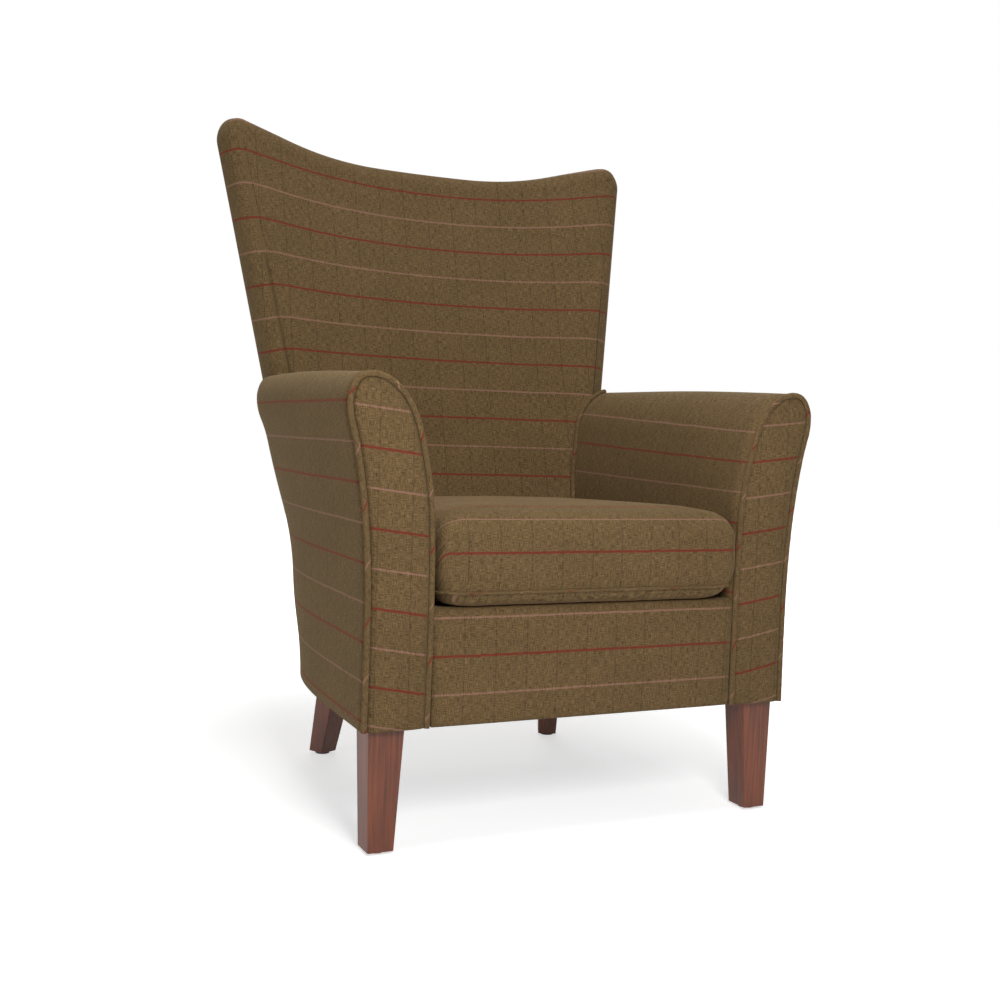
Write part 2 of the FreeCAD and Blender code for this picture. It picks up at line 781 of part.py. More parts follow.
def leg(name, top, foot):
    """Both ends are given as left, front, width and depth, from the middle of the leg's top."""
    body = feature("PartDesign::Body", name)
    upper = rectangle(body, name + "_top", "Sizes.leg_height", *top)
    lower = rectangle(body, name + "_foot", "Sizes.glide_height", *foot)
    taper = body.newObject("PartDesign::AdditiveLoft", name + "_taper")
    taper.Profile = upper
    taper.Sections = [lower]
    taper.Ruled = True
    doc.recompute()
    long_edges = []
    for index, edge in enumerate(taper.Shape.Edges, start=1):
        if edge.BoundBox.ZLength > 1:
            long_edges.append(f"Edge{index}")
    rounding = body.newObject("PartDesign::Fillet", name + "_rounding")
    rounding.Base = (taper, long_edges)
    rounding.setExpression("Radius", "Sizes.leg_edge_round")
    doc.recompute()
    before = rounding.Shape.Volume
    circle = sketch_on(body, name + "_drilling", "Sizes.leg_height")
    circle.addGeometry(Part.Circle(V(0, 0, 0), V(0, 0, 1), hole_radius), False)
    circle.addConstraint(Sketcher.Constraint("Coincident", 0, 3, -1, 1))
    index = circle.addConstraint(Sketcher.Constraint("Radius", 0, hole_radius))
    circle.setExpression(f"Constraints[{index}]", "Sizes.bolt_diameter / 2 + Sizes.fit_gap")
    bore = body.newObject("PartDesign::Pocket", name + "_bore")
    bore.Profile = circle
    bore.setExpression("Length", "Sizes.bolt_in_leg")
    doc.recompute()
    if bore.Shape.Volume > before - 100:
        raise ValueError(f"{name} was not drilled")
    return body


FRONT_X = "Sizes.front_leg_outer_half - Sizes.front_leg_top_width / 2"
FRONT_Y = f"{FACING} + Sizes.front_leg_setback + Sizes.front_leg_top_depth / 2"
front_foot_left = "Sizes.front_leg_top_width / 2 - Sizes.front_leg_draw - Sizes.front_leg_foot_width"
front_leg = leg(
    "front_leg",
    ("-Sizes.front_leg_top_width / 2", "-Sizes.front_leg_top_depth / 2",
     "Sizes.front_leg_top_width", "Sizes.front_leg_top_depth"),
    (front_foot_left, "-Sizes.front_leg_top_depth / 2",
     "Sizes.front_leg_foot_width", "Sizes.front_leg_foot_depth"),
)
front_leg.setExpression("Placement.Base.x", FRONT_X)
front_leg.setExpression("Placement.Base.y", FRONT_Y)
rear_foot = "Sizes.rear_leg_foot_width"
rear_leg = leg(
    "rear_leg",
    ("-Sizes.rear_leg_top_width / 2", "-Sizes.rear_leg_top_width / 2",
     "Sizes.rear_leg_top_width", "Sizes.rear_leg_top_width"),
    (f"-{rear_foot} / 2", f"Sizes.rear_leg_splay - {rear_foot} / 2", rear_foot, rear_foot),
)
rear_leg.setExpression("Placement.Base.x", "Sizes.rear_leg_half")
rear_leg.setExpression("Placement.Base.y", f"{FACING} + Sizes.rear_leg_depth")
rear_leg.Placement = FreeCAD.Placement(rear_leg.Placement.Base, FreeCAD.Rotation(V(0, 0, 1), -1))
rear_leg.setExpression("Placement.Rotation.Angle", "-Sizes.rear_leg_turn")
doc.recompute()
both_sides("front_leg", front_leg)
both_sides("rear_leg", rear_leg)


def cylinder(name, radius, height, x, y, z):
    item = feature("Part::Cylinder", name)
    for field, expression in zip(("Radius", "Height"), (radius, height)):
        item.setExpression(field, expression)
    for axis, expression in zip("xyz", (x, y, z)):
        item.setExpression(f"Placement.Base.{axis}", expression)
    return item


SPLAY_X = "Sizes.rear_leg_splay * sin(Sizes.rear_leg_turn)"
SPLAY_Y = "Sizes.rear_leg_splay * cos(Sizes.rear_leg_turn)"
REAR_Y = f"{FACING} + Sizes.rear_leg_depth"
FOOT_X = "Sizes.front_leg_outer_half - Sizes.front_leg_draw - Sizes.front_leg_foot_width / 2"
FOOT_Y = f"{FACING} + Sizes.front_leg_setback + Sizes.front_leg_foot_depth / 2"
feet = [(FOOT_X, FOOT_Y), (f"Sizes.rear_leg_half + {SPLAY_X}", f"{REAR_Y} + {SPLAY_Y}")]
tops = [(FRONT_X, FRONT_Y), ("Sizes.rear_leg_half", REAR_Y)]
glides = []
bolts = []
for side in ("", "-1 * "):
    for x, y in feet:
        name = f"glide_{len(glides) + 1}"
        glides.append(cylinder(name, "Sizes.glide_diameter / 2", "Sizes.glide_height", f"{side}({x})", y, "0"))
    for x, y in tops:
        name = f"bolt_{len(bolts) + 1}"
        length = "Sizes.bolt_in_leg + Sizes.cloth_thickness + Sizes.bolt_in_block"
        base = "Sizes.leg_height - Sizes.bolt_in_leg"
        bolts.append(cylinder(name, "Sizes.bolt_diameter / 2", length, f"{side}({x})", y, base))
finished(group("leg_glides", glides))
finished(group("leg_bolts", bolts))

# Suspension: zigzag wires between the rails, held in clips, under felt, padding and cloth.
loop_radius = size["spring_loop_radius"]
run = size["spring_loop_run"]
wire_radius = size["spring_wire"] / 2
wire_front = value(FRONT_RAIL) + size["rail_thickness"] / 2
rear_rail_middle = size["seat_back_rail_depth"] + size["rail_thickness"] / 2
wire_rear = rear_rail_middle / math.cos(math.radians(size["seat_tilt"]))
turn_count = round((wire_rear - wire_front) / (2 * loop_radius))
turn_radius = (wire_rear - wire_front) / turn_count / 2


def zigzag(middle):
    edges = []
    heading = 1
    depth = wire_front
    for index in range(turn_count + 1):
        start = at(middle - heading * run / 2, depth, wire_height)
        end = at(middle + heading * run / 2, depth, wire_height)
        edges.append(Part.LineSegment(start, end).toShape())
        if index < turn_count:
            crest = at(end.x + heading * turn_radius, depth + turn_radius, wire_height)
            after = at(end.x, depth + 2 * turn_radius, wire_height)
            edges.append(Part.Arc(end, crest, after).toShape())
        depth += 2 * turn_radius
        heading = -heading
    return tube(edges, wire_radius)


spring_count = int(size["spring_count"])
spring_pitch = 2 * (size["back_bottom_half"] - back_frame_side - size["upright_width"]) / spring_count
middles = [(index - (spring_count - 1) / 2) * spring_pitch for index in range(spring_count)]
first_spring = tilted(zigzag(0))
springs = []
clips = []
clip_half = size["clip_width"] / 2
clip_lip = wire_radius + CLIP_TOP
for middle in middles:
    spring = first_spring.copy()
    spring.translate(V(middle, 0, 0))
    springs.append(spring)
    for depth in (wire_front, wire_rear):
        clip = block(
            middle - clip_half, middle + clip_half, depth - clip_lip, depth + clip_lip,
            wire_height - clip_lip, wire_height + clip_lip,
        )
        eye_radius = wire_radius + size["fit_gap"] / 2
        eye = Part.makeCylinder(eye_radius, far, at(-far / 2, depth, wire_height), V(1, 0, 0))
        clips.append(tilted(clip.cut(eye)))
rail_edges = Part.makeCompound([front_rail.Shape, back_rail.Shape])
place("seat_springs", Part.makeCompound(springs))
place("spring_clips", Part.makeCompound([clip.cut(rail_edges) for clip in clips]))


def deck_layer(front, low, high):
    """A layer of the seat between the arms, as far back as the inside back."""
    half = size["arm_inner_half"] + size["arm_padding"] / 2
    layer = tilted(block(-half, half, front, far, low, high))
    room = block(-half, half, 0, rear_edge(deck_top) - 40, 0, far)
    return layer.cut(back_body).cut(both(arm_body)).common(room)


border_end = value(BORDER_FACE) + size["border_return"]
felt_front = value(FRONT_RAIL_REAR) + 4
place("spring_felt", deck_layer(felt_front, felt_top - size["felt_thickness"], felt_top))
pad_front = border_end + slope * (deck_top - felt_top)
place("deck_pad", deck_layer(pad_front, felt_top, deck_top - cloth))
place("deck_cover", deck_layer(border_end, deck_top - cloth, deck_top))


# Front border: a padded strip up the front rail that rolls over its top.
def border_keys(inset, base):
    face = value(BORDER_FACE)
    rounding = size["border_round"]
    lip_end = border_end - size["fit_gap"]
    return [
        (at(0, face + inset, base), V(0, 0, 1)),
        (at(0, face + inset, deck_top - rounding), V(0, 0, 1)),
        (at(0, face + rounding, deck_top - inset - slope * rounding), V(0, 1, -slope)),
        (at(0, lip_end, deck_top - inset - slope * lip_end), V(0, 1, -slope)),
    ]


def across(edges, half):
    face = Part.Face(Part.Wire(edges))
    face.translate(V(-half, 0, 0))
    return face.extrude(V(2 * half, 0, 0))


def line(start, end):
    return Part.LineSegment(start, end).toShape()


border_half = size["arm_inner_half"] - pipe_proud - size["fit_gap"]
outer_line = smooth_edges(border_keys(0, floor_to_body))
inner_keys = border_keys(cover, floor_to_body)
backward = [(point, heading * -1) for point, heading in reversed(inner_keys)]
ends = [border_keys(0, floor_to_body)[-1][0], inner_keys[-1][0]]
border_edges = outer_line + [line(*ends)] + smooth_edges(backward)
border_edges.append(line(inner_keys[0][0], border_keys(0, floor_to_body)[0][0]))
place("front_border_cover", across(border_edges, border_half))
pad_keys = border_keys(cover, rail_base)
rail_face = value(FRONT_RAIL)
pad_corners = [
    pad_keys[-1][0],
    at(0, border_end - size["fit_gap"], felt_top),
    at(0, rail_face, felt_top),
    at(0, rail_face, rail_base),
    pad_keys[0][0],
]
pad_edges = smooth_edges(pad_keys) + [line(a, b) for a, b in zip(pad_corners, pad_corners[1:])]
place("front_border_pad", across(pad_edges, border_half))

# Cushion: a crowned slab with drawn-in sides between the arms, in the tilted frame of the deck.
CUSHION_PROFILE = (
    (0.0, 34), (0.03, 15), (0.125, 6), (0.3, 0), (0.7, 0), (0.84, 5), (0.92, 19), (0.97, 56), (1.0, 130),
)
WELT_LEVEL = 0.125
cushion_height = size["cushion_thickness"] + size["cushion_crown"]
cushion_base = deck_top + size["fit_gap"]
cushion_rear = size["cushion_depth"] - size["cushion_nose"]
front_half = size["arm_inner_half"] - pipe_proud - size["cushion_side_gap"]
rear_half = front_half - size["arm_inner_draw"] * 0.85
rear_bow_run = rear_half - size["cushion_corner"]
bow = size["cushion_rear_bow"]
rear_radius = (rear_bow_run ** 2 + bow ** 2) / (2 * bow)


def cushion_outline(level, inset):
    """Right half of an outline: each stretch is one arc or line up to the point that follows it."""
    corner = size["cushion_corner"] + inset * 0.3
    nose = -size["cushion_nose"] + inset
    radius = rear_radius - inset
    run = rear_half - inset - corner
    edge = cushion_rear - inset - radius + math.sqrt(radius ** 2 - run ** 2)
    side_middle = (front_half + rear_half) / 2 - inset - size["cushion_draw_in"]
    bend = corner * (1 - math.sqrt(0.5))
    turn = math.asin(run / radius) / 2
    return [
        at(0, nose, level),
        at(front_half - inset - corner, nose, level),
        at(front_half - inset - bend, nose + bend, level),
        at(front_half - inset, nose + corner, level),
        at(side_middle, (nose + edge) / 2, level),
        at(rear_half - inset, edge - corner, level),
        at(rear_half - inset - bend, edge - bend * 0.9, level),
        at(run, edge, level),
        at(radius * math.sin(turn), cushion_rear - inset - radius * (1 - math.cos(turn)), level),
        at(0, cushion_rear - inset, level),
    ]


def cushion_edges(level, inset):
    right = cushion_outline(level, inset)
    front, start, front_bend, side_front, side_middle, side_rear, rear_bend, end, rear_quarter, rear = right
    stretches = [
        (start, front_bend, side_front),
        (side_front, side_middle, side_rear),
        (side_rear, rear_bend, end),
        (end, rear_quarter, rear),
    ]
    edges = [Part.LineSegment(front, start).toShape()]
    edges += [Part.Arc(*stretch).toShape() for stretch in stretches]
    left = [edge.mirror(V(0, 0, 0), V(1, 0, 0)) for edge in edges]
    return Part.__sortEdges__(edges + left)


def cushion_solid(skin):
    wires = []
    for part, inset in CUSHION_PROFILE:
        level = cushion_base + skin + part * (cushion_height - 2 * skin)
        wires.append(Part.Wire(cushion_edges(level, inset + skin)))
    return tilted(loft(wires, ruled=True))


cushion = cushion_solid(0)
cushion_inside = cushion_solid(cover)
place("cushion_foam", cushion_inside)
welt_radius = size["welt_diameter"] / 2
welt_level = cushion_base + WELT_LEVEL * cushion_height
(level_below, inset_below), (_, inset_at_welt) = CUSHION_PROFILE[1:3]
lean = math.atan2(inset_below - inset_at_welt, (WELT_LEVEL - level_below) * cushion_height)
welt_inset = inset_at_welt - welt_radius / math.cos(lean) - size["fit_gap"]
welt_points = cushion_outline(welt_level, welt_inset)
taper = (front_half - rear_half) / size["cushion_depth"]
rear_turn = rear_bow_run / rear_radius
welt_headings = (V(1, 0, 0), V(1, 0, 0), None, V(0, 1, 0), V(-taper, 1, 0), V(0, 1, 0), None,
                 V(-1, rear_turn, 0), None, V(-1, 0, 0))
welt_keys = mirrored_keys([key for key in zip(welt_points, welt_headings) if key[1]])
welt = tilted(tube(smooth_edges(welt_keys + welt_keys[:1]), welt_radius))
place("cushion_welt", welt)
place("cushion_cover", cushion.cut(cushion_inside).cut(welt))

# Zip along the rear of the cushion: its parts lie on arcs about the middle of the rear curve.
zip_level = cushion_base + cushion_height * 0.45
zip_centre = at(0, cushion_rear - rear_radius, zip_level)
zip_half_angle = math.degrees(size["zip_length"] / 2 / rear_radius)
tape_inner = rear_radius + size["fit_gap"]
tape_outer = tape_inner + size["zip_tape_thickness"]
coil_outer = tape_outer + size["zip_coil_thickness"]


def arc_band(inner, outer, height, half_angle):
    base = zip_centre - V(0, 0, height / 2)
    sector = Part.makeCylinder(outer, height, base, V(0, 0, 1), 2 * half_angle)
    sector = sector.cut(Part.makeCylinder(inner, height, base, V(0, 0, 1), 2 * half_angle))
    sector.rotate(zip_centre, V(0, 0, 1), 90 - half_angle)
    return tilted(sector)


place("zip_tape", arc_band(tape_inner, tape_outer, size["zip_tape_height"], zip_half_angle + 1))
place("zip_coil", arc_band(tape_outer, coil_outer, size["zip_coil_height"], zip_half_angle + 0.3))

# Slider and pull are drawn at the middle of the curve and turned to the left end of the zip.
gap = size["zip_clearance"]
slider_wall = 1.2
slider_half = size["zip_slider_length"] / 2
slider_low = cushion_rear + (tape_outer - rear_radius) + gap
slot_roof = cushion_rear + (coil_outer - rear_radius) + gap
slot_half = size["zip_coil_height"] / 2 + gap
cap_half = slot_half + slider_wall
cap_roof = slot_roof + slider_wall
pin_radius = 0.8
pin_depth = cap_roof + pin_radius + gap + slider_wall
lug_depth = pin_depth + pin_radius + 0.4
lug_width = 1.2
lug_gap = 2.6


def to_zip_end(shape):
    turned = shape.copy()
    turned.rotate(zip_centre, V(0, 0, 1), zip_half_angle - 1)
    return tilted(turned)


cap = block(-slider_half, slider_half, slider_low, cap_roof, zip_level - cap_half, zip_level + cap_half)
slot = block(-far, far, slider_low, slot_roof, zip_level - slot_half, zip_level + slot_half)
lugs = [
    block(-lug_width, lug_width, cap_roof, lug_depth, zip_level + low, zip_level + low + lug_width)
    for low in (lug_gap, -lug_gap - lug_width)
]
pin = Part.makeCylinder(pin_radius, 2 * lug_gap, at(0, pin_depth, zip_level - lug_gap))
place("zip_slider", to_zip_end(cap.cut(slot).fuse(lugs).fuse(pin).removeSplitter()))
eye_outer = pin_radius + gap + slider_wall * 0.8
pull_half = lug_gap - gap
eye = Part.makeCylinder(eye_outer, 2 * pull_half, at(0, pin_depth, zip_level - pull_half))
tab = block(
    -size["zip_pull_length"], 0, pin_depth - 0.6, pin_depth + 0.6,
    zip_level - pull_half, zip_level + pull_half,
)
bore = Part.makeCylinder(pin_radius + gap, 4 * pull_half, at(0, pin_depth, zip_level - 2 * pull_half))
place("zip_pull", to_zip_end(eye.fuse(tab).cut(bore).removeSplitter()))

# Every object is checked before anything is written.
doc.recompute()
for item in doc.Objects:
    if "Invalid" in item.State or "Error" in item.State:
        raise ValueError(f"{item.Label} failed: {item.State}")
names = [piece.Label for piece in pieces]
if len(set(names)) != len(names) or len(names) > 60:
    raise ValueError("piece names repeat or are too many")
for piece in pieces:
    if piece.Shape.isNull() or not piece.Shape.isValid():
        raise ValueError(f"{piece.Label} has no valid shape")
os.makedirs("parts", exist_ok=True)
for piece in pieces:
    piece.Shape.exportStep(f"parts/{piece.Label}.step")
    print(piece.Label, len(piece.Shape.Solids), round(piece.Shape.Volume))
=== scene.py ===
import math
import bmesh
import bpy
import numpy as np
from mathutils import Matrix, Vector
from mathutils.bvhtree import BVHTree


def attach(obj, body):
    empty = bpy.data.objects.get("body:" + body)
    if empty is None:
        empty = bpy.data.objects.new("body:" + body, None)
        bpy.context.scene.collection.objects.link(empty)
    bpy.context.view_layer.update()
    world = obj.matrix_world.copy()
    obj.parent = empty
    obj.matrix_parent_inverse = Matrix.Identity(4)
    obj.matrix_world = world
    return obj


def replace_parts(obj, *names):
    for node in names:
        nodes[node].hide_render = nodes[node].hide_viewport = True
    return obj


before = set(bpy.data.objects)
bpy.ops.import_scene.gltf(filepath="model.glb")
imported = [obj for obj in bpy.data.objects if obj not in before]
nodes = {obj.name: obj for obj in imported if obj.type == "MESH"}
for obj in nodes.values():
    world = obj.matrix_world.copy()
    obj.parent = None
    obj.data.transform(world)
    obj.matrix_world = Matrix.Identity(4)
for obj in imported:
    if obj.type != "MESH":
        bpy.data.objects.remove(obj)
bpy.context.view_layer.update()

# The setting: a pale floor and backdrop, soft studio lamps, and a camera a little
# above the seat, in front of the chair and to its side, turned towards it.
MM = 0.001
CAMERA_PLACE = Vector((-860.7, -1880.1, 564.9)) * MM
CAMERA_YAW = math.radians(25.85)
CAMERA_DIP = math.radians(5.69)
CAMERA_ROLL = math.radians(1.9)
FOCAL_PIXELS = 1246.2
VIEW_CENTRE = (512.0, 557.2)
PICTURE = 1000
SENSOR = 36.0

forward = Vector((
    math.sin(CAMERA_YAW) * math.cos(CAMERA_DIP),
    math.cos(CAMERA_YAW) * math.cos(CAMERA_DIP),
    -math.sin(CAMERA_DIP),
))
level_right = Vector((math.cos(CAMERA_YAW), -math.sin(CAMERA_YAW), 0))
level_up = level_right.cross(forward)
right = level_right * math.cos(CAMERA_ROLL) + level_up * math.sin(CAMERA_ROLL)
up = level_up * math.cos(CAMERA_ROLL) - level_right * math.sin(CAMERA_ROLL)
camera_data = bpy.data.cameras.new("camera")
camera_data.sensor_width = SENSOR
camera_data.lens = FOCAL_PIXELS / PICTURE * SENSOR
camera_data.shift_x = -(VIEW_CENTRE[0] - PICTURE / 2) / PICTURE
camera_data.shift_y = (VIEW_CENTRE[1] - PICTURE / 2) / PICTURE
camera_data.clip_start = 0.01
camera = bpy.data.objects.new("camera", camera_data)
turn = Matrix((right, up, -forward)).transposed().to_4x4()
camera.matrix_world = Matrix.Translation(CAMERA_PLACE) @ turn
bpy.context.scene.collection.objects.link(camera)
bpy.context.scene.camera = camera
bpy.context.scene.view_settings.view_transform = "Standard"


def put(tree, kind, **settings):
    """A new node with these properties and, by name, these input values."""
    node = tree.nodes.new(kind)
    for key, value in settings.items():
        if hasattr(node, key):
            setattr(node, key, value)
        else:
            node.inputs[key.replace("_", " ")].default_value = value
    return node


def material_tree(name):
    material = bpy.data.materials.new(name)
    material.use_nodes = True
    return material, material.node_tree, material.node_tree.nodes["Principled BSDF"]


# Distances from the chair's middle in metres, and how brightly the floor shows there.
FLOOR_GLOW = {"From Min": 0.45, "From Max": 1.5, "To Min": 0.6, "To Max": 1.1}


def floor_material():
    """Pale paper: seen directly or in a reflection it is white, with the chair's soft shadow."""
    material, tree, shader = material_tree("pale_floor")
    shader.inputs["Base Color"].default_value = (0.86, 0.86, 0.86, 1)
    shader.inputs["Roughness"].default_value = 0.9
    speckle = put(tree, "ShaderNodeTexNoise", Scale=90.0)
    bump = put(tree, "ShaderNodeBump", Strength=0.02)
    tree.links.new(speckle.outputs["Fac"], bump.inputs["Height"])
    tree.links.new(bump.outputs["Normal"], shader.inputs["Normal"])
    glow = put(tree, "ShaderNodeEmission")
    glow.inputs["Color"].default_value = (1, 1, 1, 1)
    path = put(tree, "ShaderNodeLightPath")
    either = put(tree, "ShaderNodeMath", operation="MAXIMUM")
    tree.links.new(path.outputs["Is Camera Ray"], either.inputs[0])
    tree.links.new(path.outputs["Is Glossy Ray"], either.inputs[1])
    spot = put(tree, "ShaderNodeTexCoord")
    away = put(tree, "ShaderNodeVectorMath", operation="LENGTH")
    tree.links.new(spot.outputs["Object"], away.inputs[0])
    fade = put(tree, "ShaderNodeMapRange", interpolation_type="SMOOTHSTEP")
    for limit, value in FLOOR_GLOW.items():
        fade.inputs[limit].default_value = value
    tree.links.new(away.outputs["Value"], fade.inputs["Value"])
    lift = put(tree, "ShaderNodeMath", operation="MULTIPLY")
    tree.links.new(fade.outputs["Result"], lift.inputs[1])
    tree.links.new(either.outputs[0], lift.inputs[0])
    tree.links.new(lift.outputs[0], glow.inputs["Strength"])
    both = put(tree, "ShaderNodeAddShader")
    tree.links.new(shader.outputs[0], both.inputs[0])
    tree.links.new(glow.outputs[0], both.inputs[1])
    tree.links.new(both.outputs[0], tree.nodes["Material Output"].inputs["Surface"])
    return material


FLOOR_HALF = 6.0
floor_mesh = bpy.data.meshes.new("floor")
corners = [(-1, -1), (1, -1), (1, 1), (-1, 1)]
floor_mesh.from_pydata([(x * FLOOR_HALF, y * FLOOR_HALF, 0) for x, y in corners], [], [(0, 1, 2, 3)])
floor = bpy.data.objects.new("floor", floor_mesh)
floor_mesh.materials.append(floor_material())
bpy.context.scene.collection.objects.link(floor)

world = bpy.data.worlds.new("studio")
bpy.context.scene.world = world
world.use_nodes = True
sky = world.node_tree.nodes["Background"]
sky.inputs["Color"].default_value = (1, 1, 1, 1)
world_path = put(world.node_tree, "ShaderNodeLightPath")
seen = put(world.node_tree, "ShaderNodeMath", operation="MAXIMUM")
world.node_tree.links.new(world_path.outputs["Is Camera Ray"], seen.inputs[0])
world.node_tree.links.new(world_path.outputs["Is Glossy Ray"], seen.inputs[1])
shine = put(world.node_tree, "ShaderNodeMapRange")
shine.inputs["To Min"].default_value = 0.13
shine.inputs["To Max"].default_value = 1.0
world.node_tree.links.new(seen.outputs[0], shine.inputs["Value"])
world.node_tree.links.new(shine.outputs["Result"], sky.inputs["Strength"])


def lamp(name, place, aim, size, power):
    data = bpy.data.lights.new(name, "AREA")
    data.size = size
    data.energy = power
    item = bpy.data.objects.new(name, data)
    item.location = place
    item.rotation_euler = (Vector(aim) - Vector(place)).to_track_quat("-Z", "Y").to_euler()
    item.visible_camera = False
    bpy.context.scene.collection.objects.link(item)


lamp("key_lamp", (-0.35, -1.6, 1.1), (0, 0, 0.45), 0.5, 15)
lamp("left_lamp", (-2.3, -0.5, 0.6), (0, 0, 0.4), 1.2, 7)
lamp("rear_lamp", (0.9, 2.7, 1.7), (0, 0, 0.5), 1.6, 16)
lamp("top_lamp", (0.0, -0.3, 3.0), (0, 0, 0.5), 1.4, 26)

# Arms: each is a padded frame under two pieces of tweed. The inside piece goes from the
# seat over the crown, the outside piece hangs from the shoulder to the bottom edge, and
# both run back into the sides of the chair's back.
BODY_BASE = 170.0
ARM_TOP = 637.0
ARM_RISE = 9.0
FLARE_HEIGHT = 598.0
ARM_OUTER = 336.5
ARM_FLARE = 363.5
ARM_APEX = 333.0
ARM_INNER = 241.5
ARM_FRONT = 6.0
ARM_TUCK = 16.0
ARM_MIDDLE = 295
COVER_THICKNESS = 1.5
FACING_Y = -369.595
BACK_HALF, BACK_FLARE = 236.0, 0.171
REAR_DEPTH, REAR_RECLINE = 548.0, 0.155


def back_half(z):
    return BACK_HALF + BACK_FLARE * (z - BODY_BASE)


def rear_edge(z):
    return REAR_DEPTH + REAR_RECLINE * (z - BODY_BASE)


def side_draw(share, z):
    part = (z - BODY_BASE) / (FLARE_HEIGHT - BODY_BASE)
    draw = 86 + (26 - 86) * part
    bend = 0.15 * share + 0.85 * share ** 4
    corner = max(0.0, (share - 0.88) / 0.12) ** 2
    front_half = ARM_OUTER + (ARM_FLARE - ARM_OUTER) * part ** 3
    to_back = front_half - draw - back_half(z) + ARM_TUCK / 2
    return draw * bend + max(0.0, to_back) * corner


def arm_keys(share, inset):
    """Points and headings of the outline, up the outer side and down the inner one."""
    rise = ARM_RISE * math.sin(min(1.0, share * 1.6) * math.pi / 2)
    top = ARM_TOP + rise
    inner_draw = 10 * share
    waist = BODY_BASE + (FLARE_HEIGHT - BODY_BASE) * 0.36
    shoulder = FLARE_HEIGHT - 58
    flare_draw = side_draw(share, FLARE_HEIGHT)
    crown_draw = inner_draw + 0.75 * (flare_draw - inner_draw)
    slope_draw = inner_draw + 0.33 * (flare_draw - inner_draw)
    keys = [
        (ARM_OUTER - side_draw(share, BODY_BASE), BODY_BASE, -0.02, 1),
        (ARM_OUTER - 2 - side_draw(share, waist), waist, 0.0, 1),
        (ARM_FLARE - 11 - side_draw(share, shoulder), shoulder, 0.19, 1),
        (ARM_FLARE - flare_draw, FLARE_HEIGHT + rise, 0.0, 1),
        (ARM_APEX - crown_draw, top, -1, 0),
        (ARM_INNER + 41 - slope_draw, top - 29, -0.58, -0.81),
        (ARM_INNER + 12 - inner_draw, top - 111, -0.21, -1),
        (ARM_INNER - inner_draw, waist + 34, 0.0, -1),
        (ARM_INNER + 2 - 50 * share, BODY_BASE, 0.02, -1),
    ]
    placed = []
    for x, z, run, climb in keys:
        length = math.hypot(run, climb)
        point = np.array((x - inset * climb / length, z + inset * run / length))
        placed.append((point, np.array((run, climb)) / length))
    return placed


def arc_run(start, heading, end, count):
    """Points of the arc that leaves start along heading and reaches end, without the last."""
    chord = end - start
    aside = heading - chord * (heading @ chord) / (chord @ chord)
    steps = np.arange(count) / count
    if np.hypot(*aside) < 1e-4:
        return start + chord * steps[:, None]
    half = math.atan2(np.hypot(*aside), heading @ chord / np.hypot(*chord))
    side = aside / np.hypot(*aside)
    along = chord / np.hypot(*chord)
    radius = np.hypot(*chord) / 2 / math.sin(half)
    angles = -half + 2 * half * steps
    ahead = radius * (np.sin(angles) + math.sin(half))
    out = radius * (np.cos(angles) - math.cos(half))
    return start + np.outer(ahead, along) + np.outer(out, side)


def smooth_run(keys, count):
    """Points of the pairs of tangent arcs through the keys, this many to each pair."""
    runs = []
    for (start, heading), (end, leaving) in zip(keys, keys[1:]):
        chord = end - start
        spread = 2 * (1 - heading @ leaving)
        if spread < 1e-9:
            reach = chord @ chord / (4 * (chord @ leaving))
        else:
            swing = chord @ (heading + leaving)
            reach = (math.sqrt(swing * swing + spread * (chord @ chord)) - swing) / spread
        meet = (start + heading * reach + end - leaving * reach) / 2
        runs.append(arc_run(start, heading, meet, count // 2))
        back = arc_run(end, -leaving, meet, count // 2)
        runs.append(np.vstack((meet, back[:0:-1])))
    runs.append(keys[-1][0][None])
    return np.vstack(runs)


def arm_depth(share, z):
    return ARM_FRONT + share * (rear_edge(z) - ARM_TUCK - ARM_FRONT)


def mesh_object(name, points, faces, cloth=None, smooth=True):
    """A mesh in metres from points in millimetres, with the lie of its cloth as an attribute."""
    mesh = bpy.data.meshes.new(name)
    mesh.from_pydata([tuple(p) for p in np.asarray(points, float) * MM], [], faces)
    if cloth is not None:
        lie = mesh.attributes.new("cloth", "FLOAT_VECTOR", "POINT")
        lie.data.foreach_set("vector", (np.asarray(cloth, float) * MM).ravel())
    item = bpy.data.objects.new(name, mesh)
    bpy.context.scene.collection.objects.link(item)
    cleaner = bmesh.new()
    cleaner.from_mesh(mesh)
    bmesh.ops.remove_doubles(cleaner, verts=cleaner.verts, dist=0.00002)
    bmesh.ops.recalc_face_normals(cleaner, faces=cleaner.faces)
    cleaner.to_mesh(mesh)
    cleaner.free()
    if smooth:
        mesh.shade_smooth()
    return item


def grid_faces(rows, columns, start=0, closed=False):
    faces = []
    for i in range(rows - 1):
        for j in range(columns if closed else columns - 1):
            k = (j + 1) % columns
            faces.append((start + i * columns + j, start + i * columns + k,
                          start + (i + 1) * columns + k, start + (i + 1) * columns + j))
    return faces


